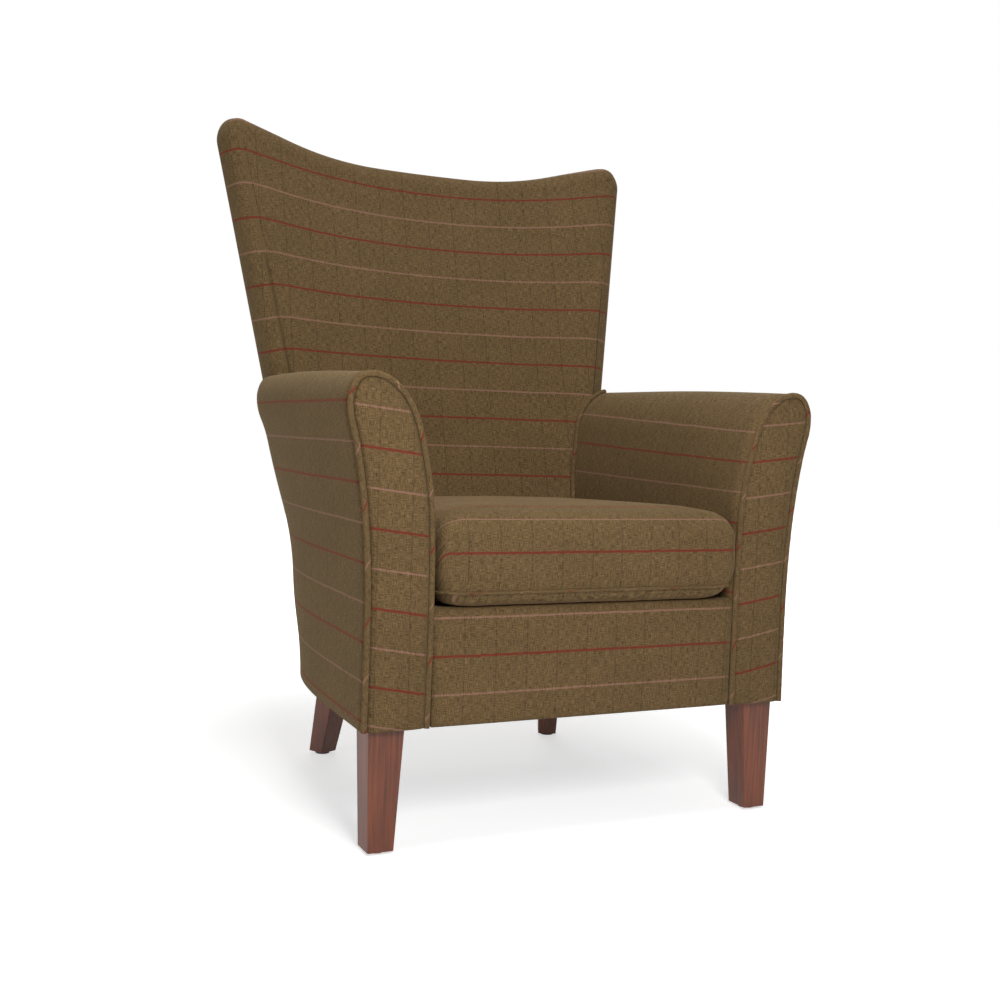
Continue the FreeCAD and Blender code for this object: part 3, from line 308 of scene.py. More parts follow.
def lined(name, points, faces, cloth, core):
    """A sheet of cloth whose back, on the side of the core, makes it a closed thin solid."""
    points = np.asarray(points, float)
    used = sorted({index for face in faces for index in face})
    order = {index: place for place, index in enumerate(used)}
    points, cloth = points[used], np.asarray(cloth, float)[used]
    faces = [tuple(order[index] for index in face) for face in faces]
    quads = np.array([face if len(face) == 4 else (*face, face[-1]) for face in faces])
    a, b, c, d = (points[quads[:, k]] for k in range(4))
    flat = np.cross(c - a, d - b)
    out = (a + b + c + d) / 4 - np.asarray(core, float)
    if (flat * out).sum() < 0:
        faces = [tuple(reversed(face)) for face in faces]
        flat = -flat
    normals = np.zeros_like(points)
    for k in range(4):
        np.add.at(normals, quads[:, k], flat)
    normals /= np.linalg.norm(normals, axis=1, keepdims=True) + 1e-9
    total = len(points)
    edges = {}
    for face in faces:
        edges.update(dict.fromkeys(zip(face, face[1:] + face[:1])))
    rim = [(total + start, total + end, end, start)
           for start, end in edges if (end, start) not in edges]
    faces = faces + [tuple(total + index for index in reversed(face)) for face in faces] + rim
    points = np.vstack((points, points - normals * COVER_THICKNESS))
    return mesh_object(name, points, faces, np.vstack((cloth, cloth)))


def thread_noise(tree, vector, stretch, detail=2.0):
    """Uneven yarn: noise that is longer along the thread than across it."""
    mapping = put(tree, "ShaderNodeMapping")
    mapping.inputs["Scale"].default_value = stretch
    noise = put(tree, "ShaderNodeTexNoise", Scale=1.0, Detail=detail, Roughness=0.62)
    tree.links.new(vector, mapping.inputs["Vector"])
    tree.links.new(mapping.outputs["Vector"], noise.inputs["Vector"])
    return noise.outputs["Fac"]


def sums(tree, operation, a, b=None, c=None, clamp=False):
    """The result of one step of arithmetic on numbers and sockets."""
    node = tree.nodes.new("ShaderNodeMath")
    node.operation = operation
    node.use_clamp = clamp
    for socket, value in zip(node.inputs, (a, b, c)):
        if value is None:
            continue
        if isinstance(value, (int, float)):
            socket.default_value = value
        else:
            tree.links.new(value, socket)
    return node.outputs[0]


def blend_colours(tree, factor, a, b, mode="MIX"):
    """The colour between a and b at this factor; each of the three may be a socket."""
    node = tree.nodes.new("ShaderNodeMix")
    node.data_type = "RGBA"
    node.blend_type = mode
    for socket, value in ((node.inputs[0], factor), (node.inputs[6], a), (node.inputs[7], b)):
        if isinstance(value, (int, float, tuple)):
            socket.default_value = value
        else:
            tree.links.new(value, socket)
    return node.outputs[2]


def tone(red, green, blue):
    """A colour written as it looks on a screen, from 0 to 255."""
    linear = []
    for value in (red, green, blue):
        v = value / 255
        linear.append(v / 12.92 if v <= 0.04045 else ((v + 0.055) / 1.055) ** 2.4)
    return (*linear, 1.0)


CHECK_REPEAT = 0.104
DARK_LINE_REPEAT = 0.047
DARK_WIDTH = 0.0016
DARK_STRENGTH = 0.6
RED_WIDTH = 0.0023
PINK_WIDTH = 0.0018


def tweed_group():
    """Heathered twill with red and pink lines by turns along it and faint dark lines across it."""
    group = bpy.data.node_groups.new("tweed", "ShaderNodeTree")
    face = group.interface
    for name in ("Red Width", "Pink Width", "Dark Lines"):
        face.new_socket(name=name, in_out="INPUT", socket_type="NodeSocketFloat")
    outputs = (("Color", "NodeSocketColor"), ("Height", "NodeSocketFloat"), ("Roughness", "NodeSocketFloat"))
    for name, kind in outputs:
        face.new_socket(name=name, in_out="OUTPUT", socket_type=kind)
    given = group.nodes.new("NodeGroupInput")
    result = group.nodes.new("NodeGroupOutput")
    lie = put(group, "ShaderNodeAttribute", attribute_name="cloth")
    place = lie.outputs["Vector"]
    split = put(group, "ShaderNodeSeparateXYZ")
    group.links.new(place, split.inputs[0])
    along, over = split.outputs["X"], split.outputs["Y"]
    weft = thread_noise(group, place, (110, 1350, 110))
    warp = thread_noise(group, place, (1350, 90, 90))
    fleck = thread_noise(group, place, (160, 420, 160))
    broad = thread_noise(group, place, (9, 14, 9))
    yarn = sums(group, "ADD", sums(group, "MULTIPLY", weft, 0.55), sums(group, "MULTIPLY", warp, 0.45))
    lightness = sums(group, "MULTIPLY_ADD", yarn, 3.6, -1.3, True)
    base = blend_colours(group, lightness, tone(54, 39, 22), tone(138, 112, 75))
    olive = sums(group, "MULTIPLY_ADD", fleck, 5.0, -2.5, True)
    base = blend_colours(group, sums(group, "MULTIPLY", olive, 0.3), base, tone(98, 84, 44))
    rust = sums(group, "MULTIPLY_ADD", weft, 9.0, -5.6, True)
    base = blend_colours(group, sums(group, "MULTIPLY", rust, 0.35), base, tone(128, 84, 52))
    shade = sums(group, "MULTIPLY_ADD", broad, 0.34, 0.83)
    level = put(group, "ShaderNodeCombineColor")
    for socket in level.inputs:
        group.links.new(shade, socket)
    base = blend_colours(group, 1.0, base, level.outputs[0], "MULTIPLY")
    wander = sums(group, "MULTIPLY_ADD", thread_noise(group, place, (13, 2, 13)), 0.0022, -0.0011)
    line_at = sums(group, "ADD", over, wander)

    def near_line(value, repeat, phase):
        """Distance in metres from the nearest of the lines that repeat at this step."""
        turn_part = sums(group, "FRACT", sums(group, "MULTIPLY_ADD", value, 1 / repeat, 0.5 - phase))
        away = sums(group, "ABSOLUTE", sums(group, "SUBTRACT", turn_part, 0.5))
        return sums(group, "MULTIPLY", away, repeat)

    def line_mask(distance, width):
        return sums(group, "SUBTRACT", 1.0, sums(group, "DIVIDE", distance, width), None, True)

    broken = sums(group, "MULTIPLY_ADD", warp, 2.2, -0.25, True)
    dark_at = near_line(along, DARK_LINE_REPEAT, 0.0)
    dark = sums(group, "MULTIPLY", line_mask(dark_at, DARK_WIDTH), given.outputs["Dark Lines"])
    dashes = sums(group, "MULTIPLY_ADD", thread_noise(group, place, (200, 130, 200)), 3.0, -0.9, True)
    base = blend_colours(group, sums(group, "MULTIPLY", dark, dashes), base, tone(46, 38, 28))
    pink_mask = line_mask(near_line(line_at, CHECK_REPEAT, 0.5), given.outputs["Pink Width"])
    pink = sums(group, "MULTIPLY", sums(group, "MULTIPLY", pink_mask, 1.9, None, True), broken)
    base = blend_colours(group, sums(group, "MULTIPLY", pink, 0.62), base, tone(166, 122, 106))
    red_mask = line_mask(near_line(line_at, CHECK_REPEAT, 0.0), given.outputs["Red Width"])
    red = sums(group, "MULTIPLY", sums(group, "MULTIPLY", red_mask, 2.1, None, True), broken)
    base = blend_colours(group, sums(group, "MULTIPLY", red, 0.85), base, tone(122, 32, 30))
    group.links.new(base, result.inputs["Color"])
    group.links.new(sums(group, "MULTIPLY_ADD", pink, 0.15, yarn), result.inputs["Height"])
    group.links.new(sums(group, "MULTIPLY_ADD", yarn, -0.15, 0.98), result.inputs["Roughness"])
    return group


def tweed_material():
    material, tree, shader = material_tree("tweed")
    weave = tree.nodes.new("ShaderNodeGroup")
    weave.node_tree = tweed_group()
    weave.inputs["Red Width"].default_value = RED_WIDTH
    weave.inputs["Pink Width"].default_value = PINK_WIDTH
    weave.inputs["Dark Lines"].default_value = DARK_STRENGTH
    tree.links.new(weave.outputs["Color"], shader.inputs["Base Color"])
    tree.links.new(weave.outputs["Roughness"], shader.inputs["Roughness"])
    bump = put(tree, "ShaderNodeBump", Strength=0.35, Distance=0.0006)
    tree.links.new(weave.outputs["Height"], bump.inputs["Height"])
    tree.links.new(bump.outputs["Normal"], shader.inputs["Normal"])
    shader.inputs["Specular IOR Level"].default_value = 0.2
    shader.inputs["Sheen Weight"].default_value = 0.25
    shader.inputs["Sheen Roughness"].default_value = 0.5
    shader.inputs["Sheen Tint"].default_value = tone(190, 170, 130)
    return material


tweed = tweed_material()
SHARES = np.concatenate((np.linspace(0, 0.88, 24), np.linspace(0.9, 1.0, 7)))
ARM_STEPS = 10


def arm_grid(inset):
    rows = []
    for share in SHARES:
        outline = smooth_run(arm_keys(share, inset), ARM_STEPS)
        rows.append([(x, FACING_Y + arm_depth(share, z), z) for x, z in outline])
    return np.array(rows)


def arm_cloth(grid):
    """How far along and up the cloth lies: inside the arm its lines fall towards the front."""
    depth, z = grid[..., 1] - FACING_Y, grid[..., 2]
    ahead = 1 - np.clip(depth / 540, 0, 1)
    drop = (6 + 22 * np.clip((z - 450) / 130, 0, 1)) * ahead
    crown = 659 + (z - 622) * 0.46
    outside = np.arange(grid.shape[1]) <= 4 * ARM_STEPS
    over = np.where(outside, z + 24, np.where(z > 622, crown, 1281 - z - drop))
    return np.stack((depth + 11, over, 0 * depth), axis=2)


def dress(item, body, material):
    item.data.materials.append(material)
    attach(item, body)
    return item


arms = arm_grid(0.0)[:, : 8 * ARM_STEPS - ARM_STEPS // 2]
for side, word in ((1, "right"), (-1, "left")):
    grid = arms * (side, 1, 1)
    rows, columns = grid.shape[:2]
    cover = dress(
        lined(f"arm_cover_{word}", grid.reshape(-1, 3), grid_faces(rows, columns),
              arm_cloth(grid).reshape(-1, 3), (side * ARM_MIDDLE, -100, 400)),
        "chair", tweed)
    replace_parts(cover, f"outside_arm_cover_{word}", f"inside_arm_cover_{word}", f"arm_foam_{word}")

# Arm facings: a padded panel on the front of each arm, crowned a little, with a
# tweed-covered cord sewn round its edge from the bottom rail over the crown and down.
FACING_INSET = 6.8
FACING_SWELL = 4.5
PIPING_RADIUS = 4.2
FINE_STEPS = 24
CORD_STEP = 3.0


def facing_points(side, columns=15, rows=64):
    outline = smooth_run(arm_keys(0.0, FACING_INSET), FINE_STEPS)
    apex = int(np.argmax(outline[:, 1]))
    grid, cloth = [], []
    sides = []
    for run in (outline[: apex + 1], outline[apex:][::-1]):
        lengths = np.concatenate(([0], np.cumsum(np.hypot(*np.diff(run, axis=0).T))))
        at = np.linspace(0, lengths[-1], rows)
        sides.append(np.stack([np.interp(at, lengths, run[:, k]) for k in (0, 1)], axis=1))
    for outer, inner in zip(*sides):
        for share in np.linspace(0, 1, columns):
            x, z = outer + (inner - outer) * share
            width = abs(outer[0] - inner[0])
            edge = min(share, 1 - share) * width
            top = ARM_TOP - FACING_INSET - z
            near = max(0.0, min(edge, top * 0.8))
            swell = FACING_SWELL * math.sqrt(min(1.0, near / 22))
            grid.append((side * x, FACING_Y + 2 - swell, z))
            tip = 9 + 9 * (1 - (z - BODY_BASE) / 430)
            cloth.append((x + 7, z - 17 - tip * (x - ARM_MIDDLE) / 90, 0))
    return grid, cloth, rows, columns


def frames_along(path):
    """Unit tangents and two unit normals at each point of the path."""
    tangent = np.gradient(path, axis=0)
    tangent /= np.linalg.norm(tangent, axis=1, keepdims=True)
    guide = np.array((0.0, -1.0, 0.02))
    first = np.cross(tangent, guide)
    first /= np.linalg.norm(first, axis=1, keepdims=True)
    return tangent, first, np.cross(tangent, first)


def even_path(path, step):
    lengths = np.concatenate(([0], np.cumsum(np.linalg.norm(np.diff(path, axis=0), axis=1))))
    at = np.linspace(0, lengths[-1], max(8, int(lengths[-1] / step)))
    return np.stack([np.interp(at, lengths, path[:, k]) for k in range(3)], axis=1), at


def covered_cord(name, path, radius, body="chair", around=10, closed=False):
    """A cord in a bias-cut sleeve of the tweed, with its two ends closed."""
    path, at = even_path(np.asarray(path, float), CORD_STEP)
    if closed:
        path, at = path[:-1], at[:-1]
    tangent, first, second = frames_along(path)
    if closed:
        tangent = np.roll(path, -1, axis=0) - np.roll(path, 1, axis=0)
        tangent /= np.linalg.norm(tangent, axis=1, keepdims=True)
        first = np.cross(tangent, (0, 0.05, 1.0))
        first /= np.linalg.norm(first, axis=1, keepdims=True)
        second = np.cross(tangent, first)
    points, cloth = [], []
    for k, centre in enumerate(path):
        pull = radius * (1 + 0.035 * math.sin(at[k] * 0.31) * math.sin(at[k] * 0.083))
        for j in range(around):
            angle = 2 * math.pi * j / around
            points.append(centre + (first[k] * math.cos(angle) + second[k] * math.sin(angle)) * pull)
            sweep = at[k] * 0.7
            cloth.append((sweep + angle * radius, sweep - angle * radius + 20, 0))
    faces = grid_faces(len(path), around, closed=True)
    if closed:
        last = (len(path) - 1) * around
        faces += [(last + j, last + (j + 1) % around, (j + 1) % around, j) for j in range(around)]
    else:
        faces += [tuple(range(around)), tuple(range(len(points) - around, len(points)))]
    item = mesh_object(name, points, faces, cloth)
    return dress(item, body, tweed)


cord_outline = smooth_run(arm_keys(0.0, 2.5), FINE_STEPS)
for side, word in ((1, "right"), (-1, "left")):
    grid, cloth, rows, columns = facing_points(side)
    facing = dress(
        lined(f"arm_facing_{word}", grid, grid_faces(rows, columns), cloth, (side * ARM_MIDDLE, -300, 400)),
        "chair", tweed)
    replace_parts(facing, f"facing_cover_{word}", f"facing_pad_{word}")
    path = [(side * x, FACING_Y + 2, z) for x, z in cord_outline]
    cord = covered_cord(f"facing_cord_{word}", path, PIPING_RADIUS)
    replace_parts(cord, f"facing_piping_{word}")

# Back: a thick reclining cushion of its own, sewn from an inside piece that wraps round
# the sides and over the raised top corners, and a plain outside piece behind.
BACK_ROUND = 30.0
SEAM_SETBACK = 9.0
SEAT_LINE = 305.0


def back_front(x, z):
    half = back_half(z) - 28
    bow = 28 + 0.046 * (z - BODY_BASE)
    edge = 431 + 0.218 * (z - BODY_BASE)
    return edge + bow * (1 - np.clip(np.abs(x) / half, 0, 1.1) ** 2)


def back_rear(x, z):
    bow = 27 + 0.06 * (z - BODY_BASE)
    return rear_edge(z) + bow * (1 - np.clip(np.abs(x) / (back_half(z) - 28), 0, 1) ** 2)


def back_silhouette(inset):
    """The back's outline from the front: up the right side, then along the dished top."""
    flare = np.array((BACK_FLARE, 1.0)) / math.hypot(BACK_FLARE, 1)
    base = np.array((back_half(BODY_BASE), BODY_BASE))
    side_top = np.array((383.7, 1034.0))
    keys = [(base, flare), (side_top, flare)]
    for x, z, run, climb in ((347.3, 1078.0, -1, -0.22), (176.0, 1041.5, -1, -0.12), (0.0, 1036.0, -1, 0)):
        heading = np.array((run, climb)) / math.hypot(run, climb)
        keys.append((np.array((x, z)), heading))
    moved = [(point + inset * np.array((-heading[1], heading[0])), heading) for point, heading in keys]
    return moved


def back_samples(inset, low=6, high=56):
    """The outline's points: low ones beside the seat, high ones up to the corner, then the top."""
    keys = back_silhouette(inset)
    (base, _), (corner, _) = keys[:2]
    split = base + (corner - base) * (SEAT_LINE - BODY_BASE) / (corner[1] - BODY_BASE)
    side = np.vstack((np.linspace(base, split, low + 1)[:-1], np.linspace(split, corner, high + 1)[:-1]))
    half = np.vstack((side, smooth_run(keys[1:], FINE_STEPS)))
    outline = np.vstack((half, (half * (-1, 1))[::-1][1:]))
    normals = np.gradient(outline, axis=0)
    normals = np.stack((normals[:, 1], -normals[:, 0]), axis=1)
    normals /= np.linalg.norm(normals, axis=1, keepdims=True)
    flare = np.array((1.0, -BACK_FLARE)) / math.hypot(BACK_FLARE, 1)
    normals[: low + high + 1] = flare
    normals[-(low + high + 1):] = flare * (-1, 1)
    return outline, normals, low, high


def back_lie(x, z, depth, normals):
    """Where the cloth lies: its lines rise to the top corners and dip again at the edges."""
    spread = np.clip(np.abs(x) / 330, 0, 1.1)
    lift = 25 * spread ** 2.2 * np.clip((z - 560) / 440, 0, 1) ** 1.6
    lift = lift - 9 * np.clip(1 - (back_half(z) - np.abs(x)) / 60, 0, 1) ** 2
    aside = np.maximum(0, depth - back_front(x, z) - 14)
    sideways = np.abs(normals[..., 0]) > 0.7
    along = np.where(sideways, np.abs(x) + aside, x)
    over = 1040 + (z - lift - 995) * 1.026 + np.where(sideways, 0, aside)
    return np.stack((along, over, 0 * over), axis=-1)


def inside_back():
    rim, normals, low, high = back_samples(0.0)
    core = rim - normals * BACK_ROUND
    first, last = low + high, len(rim) - low - high
    tops = core[first:last]
    bottoms = np.stack((tops[:, 0] / tops[0, 0] * core[low, 0], np.full(len(tops), core[low, 1])), axis=1)
    shares = np.linspace(0, 1, high + 1)[:, None, None]
    flat = bottoms + (tops - bottoms) * shares
    depth = back_front(flat[..., 0], flat[..., 1])
    points = [np.stack((flat[..., 0], FACING_Y + depth, flat[..., 1]), axis=-1).reshape(-1, 3)]
    cloth = [back_lie(flat[..., 0], flat[..., 1], depth, np.zeros_like(flat)).reshape(-1, 3)]
    across = len(tops)
    faces = grid_faces(high + 1, across)
    edge = [i * across for i in range(high)] + [high * across + j for j in range(across)]
    edge += [i * across + across - 1 for i in range(high - 1, -1, -1)]
    core_depth = back_front(core[:, 0], core[:, 1])
    columns = []
    for angle in np.linspace(0, math.pi / 2, 8)[1:]:
        columns.append((rim - normals * BACK_ROUND * (1 - math.sin(angle)),
                        core_depth + BACK_ROUND * (1 - math.cos(angle))))
    side_start = columns[-1][1]
    seam = back_rear(rim[:, 0] * 0.97, rim[:, 1]) - SEAM_SETBACK
    for share in np.linspace(0, 1, 12)[1:]:
        swell = 2.5 * math.sin(math.pi * share)
        columns.append((rim + normals * swell, side_start + (seam - side_start) * share))
    for lift, setback in ((-2.5, 2.5), (-7, 3.5)):
        columns.append((rim + normals * lift, seam + setback))
    start = (high + 1) * across
    for flat, depth in columns:
        points.append(np.stack((flat[:, 0], FACING_Y + depth, flat[:, 1]), axis=1))
        cloth.append(back_lie(flat[:, 0], flat[:, 1], depth, normals))
    count = len(rim)
    for column in range(len(columns)):
        for k in range(count - 1):
            a, b = start + column * count + k, start + column * count + k + 1
            if column:
                c, d = a - count, b - count
            elif low <= k and k + 1 < count - low:
                c, d = edge[k - low], edge[k + 1 - low]
            else:
                continue
            faces.append((c, d, b, a))
    return np.vstack(points), faces, np.vstack(cloth)


back_points, back_faces, back_cloth = inside_back()
inside = dress(
    lined("inside_back", back_points, back_faces, back_cloth, (0, 130, 650)),
    "chair", tweed)
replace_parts(inside, "inside_back_cover", "back_foam")


def outside_back():
    """One flat-cut piece from the bottom edge to the dished top, bowed between its sides."""
    rim, _, low, high = back_samples(7.0)
    first, last = low + high, len(rim) - low - high
    tops = rim[first:last]
    bottoms = np.stack((tops[:, 0] / tops[0, 0] * rim[0, 0], np.full(len(tops), BODY_BASE)), axis=1)
    shares = np.linspace(0, 1, 50)[:, None, None]
    flat = bottoms + (tops - bottoms) * shares
    depth = back_rear(flat[..., 0], flat[..., 1])
    points = np.stack((flat[..., 0], FACING_Y + depth, flat[..., 1]), axis=-1)
    cloth = np.stack((flat[..., 0] + 9, flat[..., 1] + 24, 0 * depth), axis=-1)
    return points.reshape(-1, 3), grid_faces(50, len(tops)), cloth.reshape(-1, 3)


rear_points, rear_faces, rear_cloth = outside_back()
outside = dress(
    lined("outside_back", rear_points, rear_faces, rear_cloth, (0, 130, 650)),
    "chair", tweed)
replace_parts(outside, "outside_back_cover")

# The corner between each arm and the back is finished with the same covered cord.
for side, word in ((1, "right"), (-1, "left")):
    outline = smooth_run(arm_keys(0.9, -2.0), FINE_STEPS)
    path = []
    for x, z in outline[FINE_STEPS * 4 - 8: FINE_STEPS * 7 + 1]:
        inside_edge = (back_half(z) - x) * 0.985
        if inside_edge < 5:
            continue
        turned = max(0.0, BACK_ROUND - inside_edge)
        fall = BACK_ROUND - math.sqrt(BACK_ROUND ** 2 - turned ** 2)
        path.append((side * x, FACING_Y + float(back_front(x, z)) + fall - 3.0, z))
    cord = covered_cord(f"back_arm_cord_{word}", path, PIPING_RADIUS)
    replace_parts(cord, f"back_arm_piping_{word}")

# Front border: a padded strip of tweed under the cushion, rolled back over the front rail.
BORDER_HALF = 239.5
BORDER_ROLL = 14
DECK_TOP = 330.0
SEAT_TILT = math.radians(1.7)
SLOPE = math.tan(SEAT_TILT)


def border_grid():
    profile = []
    for z in np.linspace(BODY_BASE, DECK_TOP - BORDER_ROLL, 26):
        swell = 3.0 * math.sin(math.pi * min(1.0, (z - BODY_BASE) / 150)) ** 0.7
        profile.append((2 - swell * 0.8, z))
    for angle in np.linspace(0, math.pi / 2, 8)[1:]:
        level = DECK_TOP - BORDER_ROLL + BORDER_ROLL * math.sin(angle)
        profile.append((2 + BORDER_ROLL * (1 - math.cos(angle)), level))
    profile += [(26, DECK_TOP - SLOPE * 26), (47, DECK_TOP - SLOPE * 47)]
    xs = np.linspace(-BORDER_HALF, BORDER_HALF, 49)
    grid, cloth = [], []
    lengths = np.concatenate(([0], np.cumsum(np.hypot(*np.diff(np.array(profile), axis=0).T))))
    for (depth, z), length in zip(profile, lengths):
        for x in xs:
            edge = 1 - (abs(x) / BORDER_HALF) ** 12
            grid.append((x, FACING_Y + 3 + (depth - 3) * edge if depth < 3 else FACING_Y + depth, z))
            cloth.append((x + 7, BODY_BASE + length + 47, 0))
    return grid, cloth, len(profile), len(xs)


grid, cloth, rows, columns = border_grid()
border = dress(
    lined("front_border", grid, grid_faces(rows, columns), cloth, (0, -300, 250)),
    "chair", tweed)
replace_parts(border, "front_border_cover", "front_border_pad")

# Seat cushion: a loose crowned cushion between the arms. Its cover is blown out by a cloth
# simulation, has a welt low down round it and a zip behind.
CUSHION_BASE = DECK_TOP + 0.3
CUSHION_HEIGHT = 139.0
CUSHION_FRONT_HALF, CUSHION_REAR_HALF = 239.4, 230.9
CUSHION_NOSE, CUSHION_REAR = -22.0, 488.0
CUSHION_PROFILE = (
    (0, 34), (0.03, 15), (0.125, 6), (0.3, 0), (0.7, 0), (0.84, 5), (0.92, 19), (0.97, 56), (1, 130),
)
CLOTH_VOXEL = 0.0075
CLOTH_FRAMES = 20

# Limits in metres: how far the cloth may swell, where the arms and the back stop it,
# and how far its nose spreads once it is past the arm fronts.
PUFF_LIMIT = 0.006
SIDE_LIMIT = 0.24
REAR_LIMIT = 0.1204
NOSE_OVERHANG = 0.009

DECK_EDGE = Vector((0, FACING_Y, DECK_TOP))
TILT = (Matrix.Translation(DECK_EDGE) @ Matrix.Rotation(-SEAT_TILT, 4, "X")
        @ Matrix.Translation(-DECK_EDGE))


def tilted(points):
    return np.array([TILT @ Vector(point) for point in points])


def cushion_ring(inset):
    """One turn of the plan: straight front, drawn-in sides, rear bowed out, rounded corners."""
    corner = 26 + inset * 0.3
    nose, rear = CUSHION_NOSE + inset, CUSHION_REAR - inset
    front, behind = CUSHION_FRONT_HALF - inset, CUSHION_REAR_HALF - inset
    middle = (front + behind) / 2 - 3
    keys = [
        ((0, nose), (1, 0)), ((front - corner, nose), (1, 0)), ((front, nose + corner), (0, 1)),
        ((middle, (nose + rear) / 2), (-0.017, 1)), ((behind, rear - 26 - corner), (0, 1)),
        ((behind - corner, rear - 24), (-1, 0.3)), ((0, rear), (-1, 0)),
    ]
    keys = [(np.array(p, float), np.array(h, float) / math.hypot(*h)) for p, h in keys]
    half = smooth_run(keys, 16)
    return np.vstack((half, (half * (-1, 1))[::-1][1:-1]))


def cushion_mesh():
    points = []
    for level, inset in CUSHION_PROFILE:
        ring = cushion_ring(inset)
        z = CUSHION_BASE + CUSHION_HEIGHT * level
        points += [(x, FACING_Y + depth, z) for x, depth in ring]
    size = len(ring)
    faces = grid_faces(len(CUSHION_PROFILE), size, closed=True)
    faces += [tuple(range(size)), tuple(range(len(points) - size, len(points)))]
    return tilted(points), faces


def vertex_places(mesh):
    return np.array([vertex.co[:] for vertex in mesh.vertices])


def inflate(item):
    """Cloth under pressure for some frames, then the movement is capped and kept."""
    remesh = item.modifiers.new("remesh", "REMESH")
    remesh.mode = "VOXEL"
    remesh.voxel_size = CLOTH_VOXEL
    bake(item)
    base = vertex_places(item.data)
    cloth = item.modifiers.new("cloth", "CLOTH")
    settings = cloth.settings
    settings.quality = 5
    settings.use_pressure = True
    settings.uniform_pressure_force = 4.0
    settings.effector_weights.gravity = 0
    settings.tension_stiffness = 12
    settings.compression_stiffness = 8
    settings.bending_stiffness = 1.2
    cloth.collision_settings.use_collision = False
    cloth.collision_settings.use_self_collision = False
    scene = bpy.context.scene
    cloth.point_cache.frame_start, cloth.point_cache.frame_end = 1, CLOTH_FRAMES
    for step in range(1, CLOTH_FRAMES + 1):
        scene.frame_set(step)
    graph = bpy.context.evaluated_depsgraph_get()
    blown = item.evaluated_get(graph).to_mesh()
    moved = vertex_places(blown)
    item.modifiers.remove(cloth)
    scene.frame_set(1)
    shift = moved - base
    length = np.linalg.norm(shift, axis=1, keepdims=True)
    shift *= np.minimum(1, PUFF_LIMIT / (length + 1e-9))
    shift[:, 2] *= 0.3
    item.data.vertices.foreach_set("co", (base + shift).ravel())


def bake(item):
    """The mesh with its modifiers applied."""
    graph = bpy.context.evaluated_depsgraph_get()
    finished = bpy.data.meshes.new_from_object(item.evaluated_get(graph))
    item.modifiers.clear()
    item.data = finished


cushion_points, cushion_faces = cushion_mesh()
cushion = mesh_object("cushion", cushion_points, cushion_faces)
inflate(cushion)
spots = vertex_places(cushion.data)
low = CUSHION_BASE * MM - SLOPE * (spots[:, 1] - FACING_Y * MM)
spots[:, 2] = np.maximum(spots[:, 2], low)
spots[:, 0] = np.clip(spots[:, 0], -SIDE_LIMIT, SIDE_LIMIT)
ahead = np.clip((FACING_Y * MM - 0.001 - spots[:, 1]) / 0.012, 0, 1)
outer = np.clip((np.abs(spots[:, 0]) - 0.15) / 0.08, 0, 1)
spots[:, 0] += np.sign(spots[:, 0]) * ahead * NOSE_OVERHANG * outer
spots[:, 1] = np.minimum(spots[:, 1], REAR_LIMIT)
cushion.data.vertices.foreach_set("co", spots.ravel())
smoother = cushion.modifiers.new("even", "SMOOTH")
smoother.factor, smoother.iterations = 0.5, 4
bake(cushion)
spots = vertex_places(cushion.data)
front_edge = (FACING_Y + CUSHION_NOSE + 10) * MM
over = np.minimum(spots[:, 2], 0.462) + np.maximum(0, spots[:, 1] - front_edge)
lie = cushion.data.attributes.new("cloth", "FLOAT_VECTOR", "POINT")
lie.data.foreach_set("vector", np.stack((spots[:, 0] + 0.011, over + 0.011, 0 * over), axis=1).ravel())
cushion.data.shade_smooth()
dress(cushion, "seat_cushion", tweed)
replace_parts(cushion, "cushion_cover", "cushion_foam")

WELT_LEVEL = 0.125
WELT_RADIUS = 2.2
WELT_STANDS_OUT = 1.2
ring = cushion_ring(3.2)
ring = np.vstack((ring, ring[:1]))
welt_z = CUSHION_BASE + CUSHION_HEIGHT * WELT_LEVEL
welt_path, _ = even_path(tilted([(x, FACING_Y + depth, welt_z) for x, depth in ring]), 4.0)
skin = BVHTree.FromPolygons(
    [vertex.co for vertex in cushion.data.vertices], [face.vertices[:] for face in cushion.data.polygons])
seated = []
for spot in welt_path:
    near, normal, _, _ = skin.find_nearest(Vector(spot) * MM)
    seated.append(np.array(near) / MM + np.array((normal.x, normal.y, 0)) * WELT_STANDS_OUT)
seated[-1] = seated[0]
welt = covered_cord("cushion_welt_cord", seated, WELT_RADIUS, body="seat_cushion", around=8, closed=True)
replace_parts(welt, "cushion_welt")


# Legs: dark stained hardwood, on small plastic glides.
def wood_material(name, dark, light, rough):
    material, tree, shader = material_tree(name)
    place = put(tree, "ShaderNodeTexCoord").outputs["Object"]
    grain = thread_noise(tree, place, (260, 260, 9), 5.0)
    broad = thread_noise(tree, place, (34, 34, 5))
    mix = sums(tree, "ADD", sums(tree, "MULTIPLY", grain, 0.6), sums(tree, "MULTIPLY", broad, 0.4))
    colour = blend_colours(tree, sums(tree, "MULTIPLY_ADD", mix, 3.2, -1.1, True), dark, light)
    tree.links.new(colour, shader.inputs["Base Color"])
    tree.links.new(sums(tree, "MULTIPLY_ADD", grain, 0.2, rough), shader.inputs["Roughness"])
    bump = put(tree, "ShaderNodeBump", Strength=0.15, Distance=0.0003)
    tree.links.new(grain, bump.inputs["Height"])
    tree.links.new(bump.outputs["Normal"], shader.inputs["Normal"])
    return material


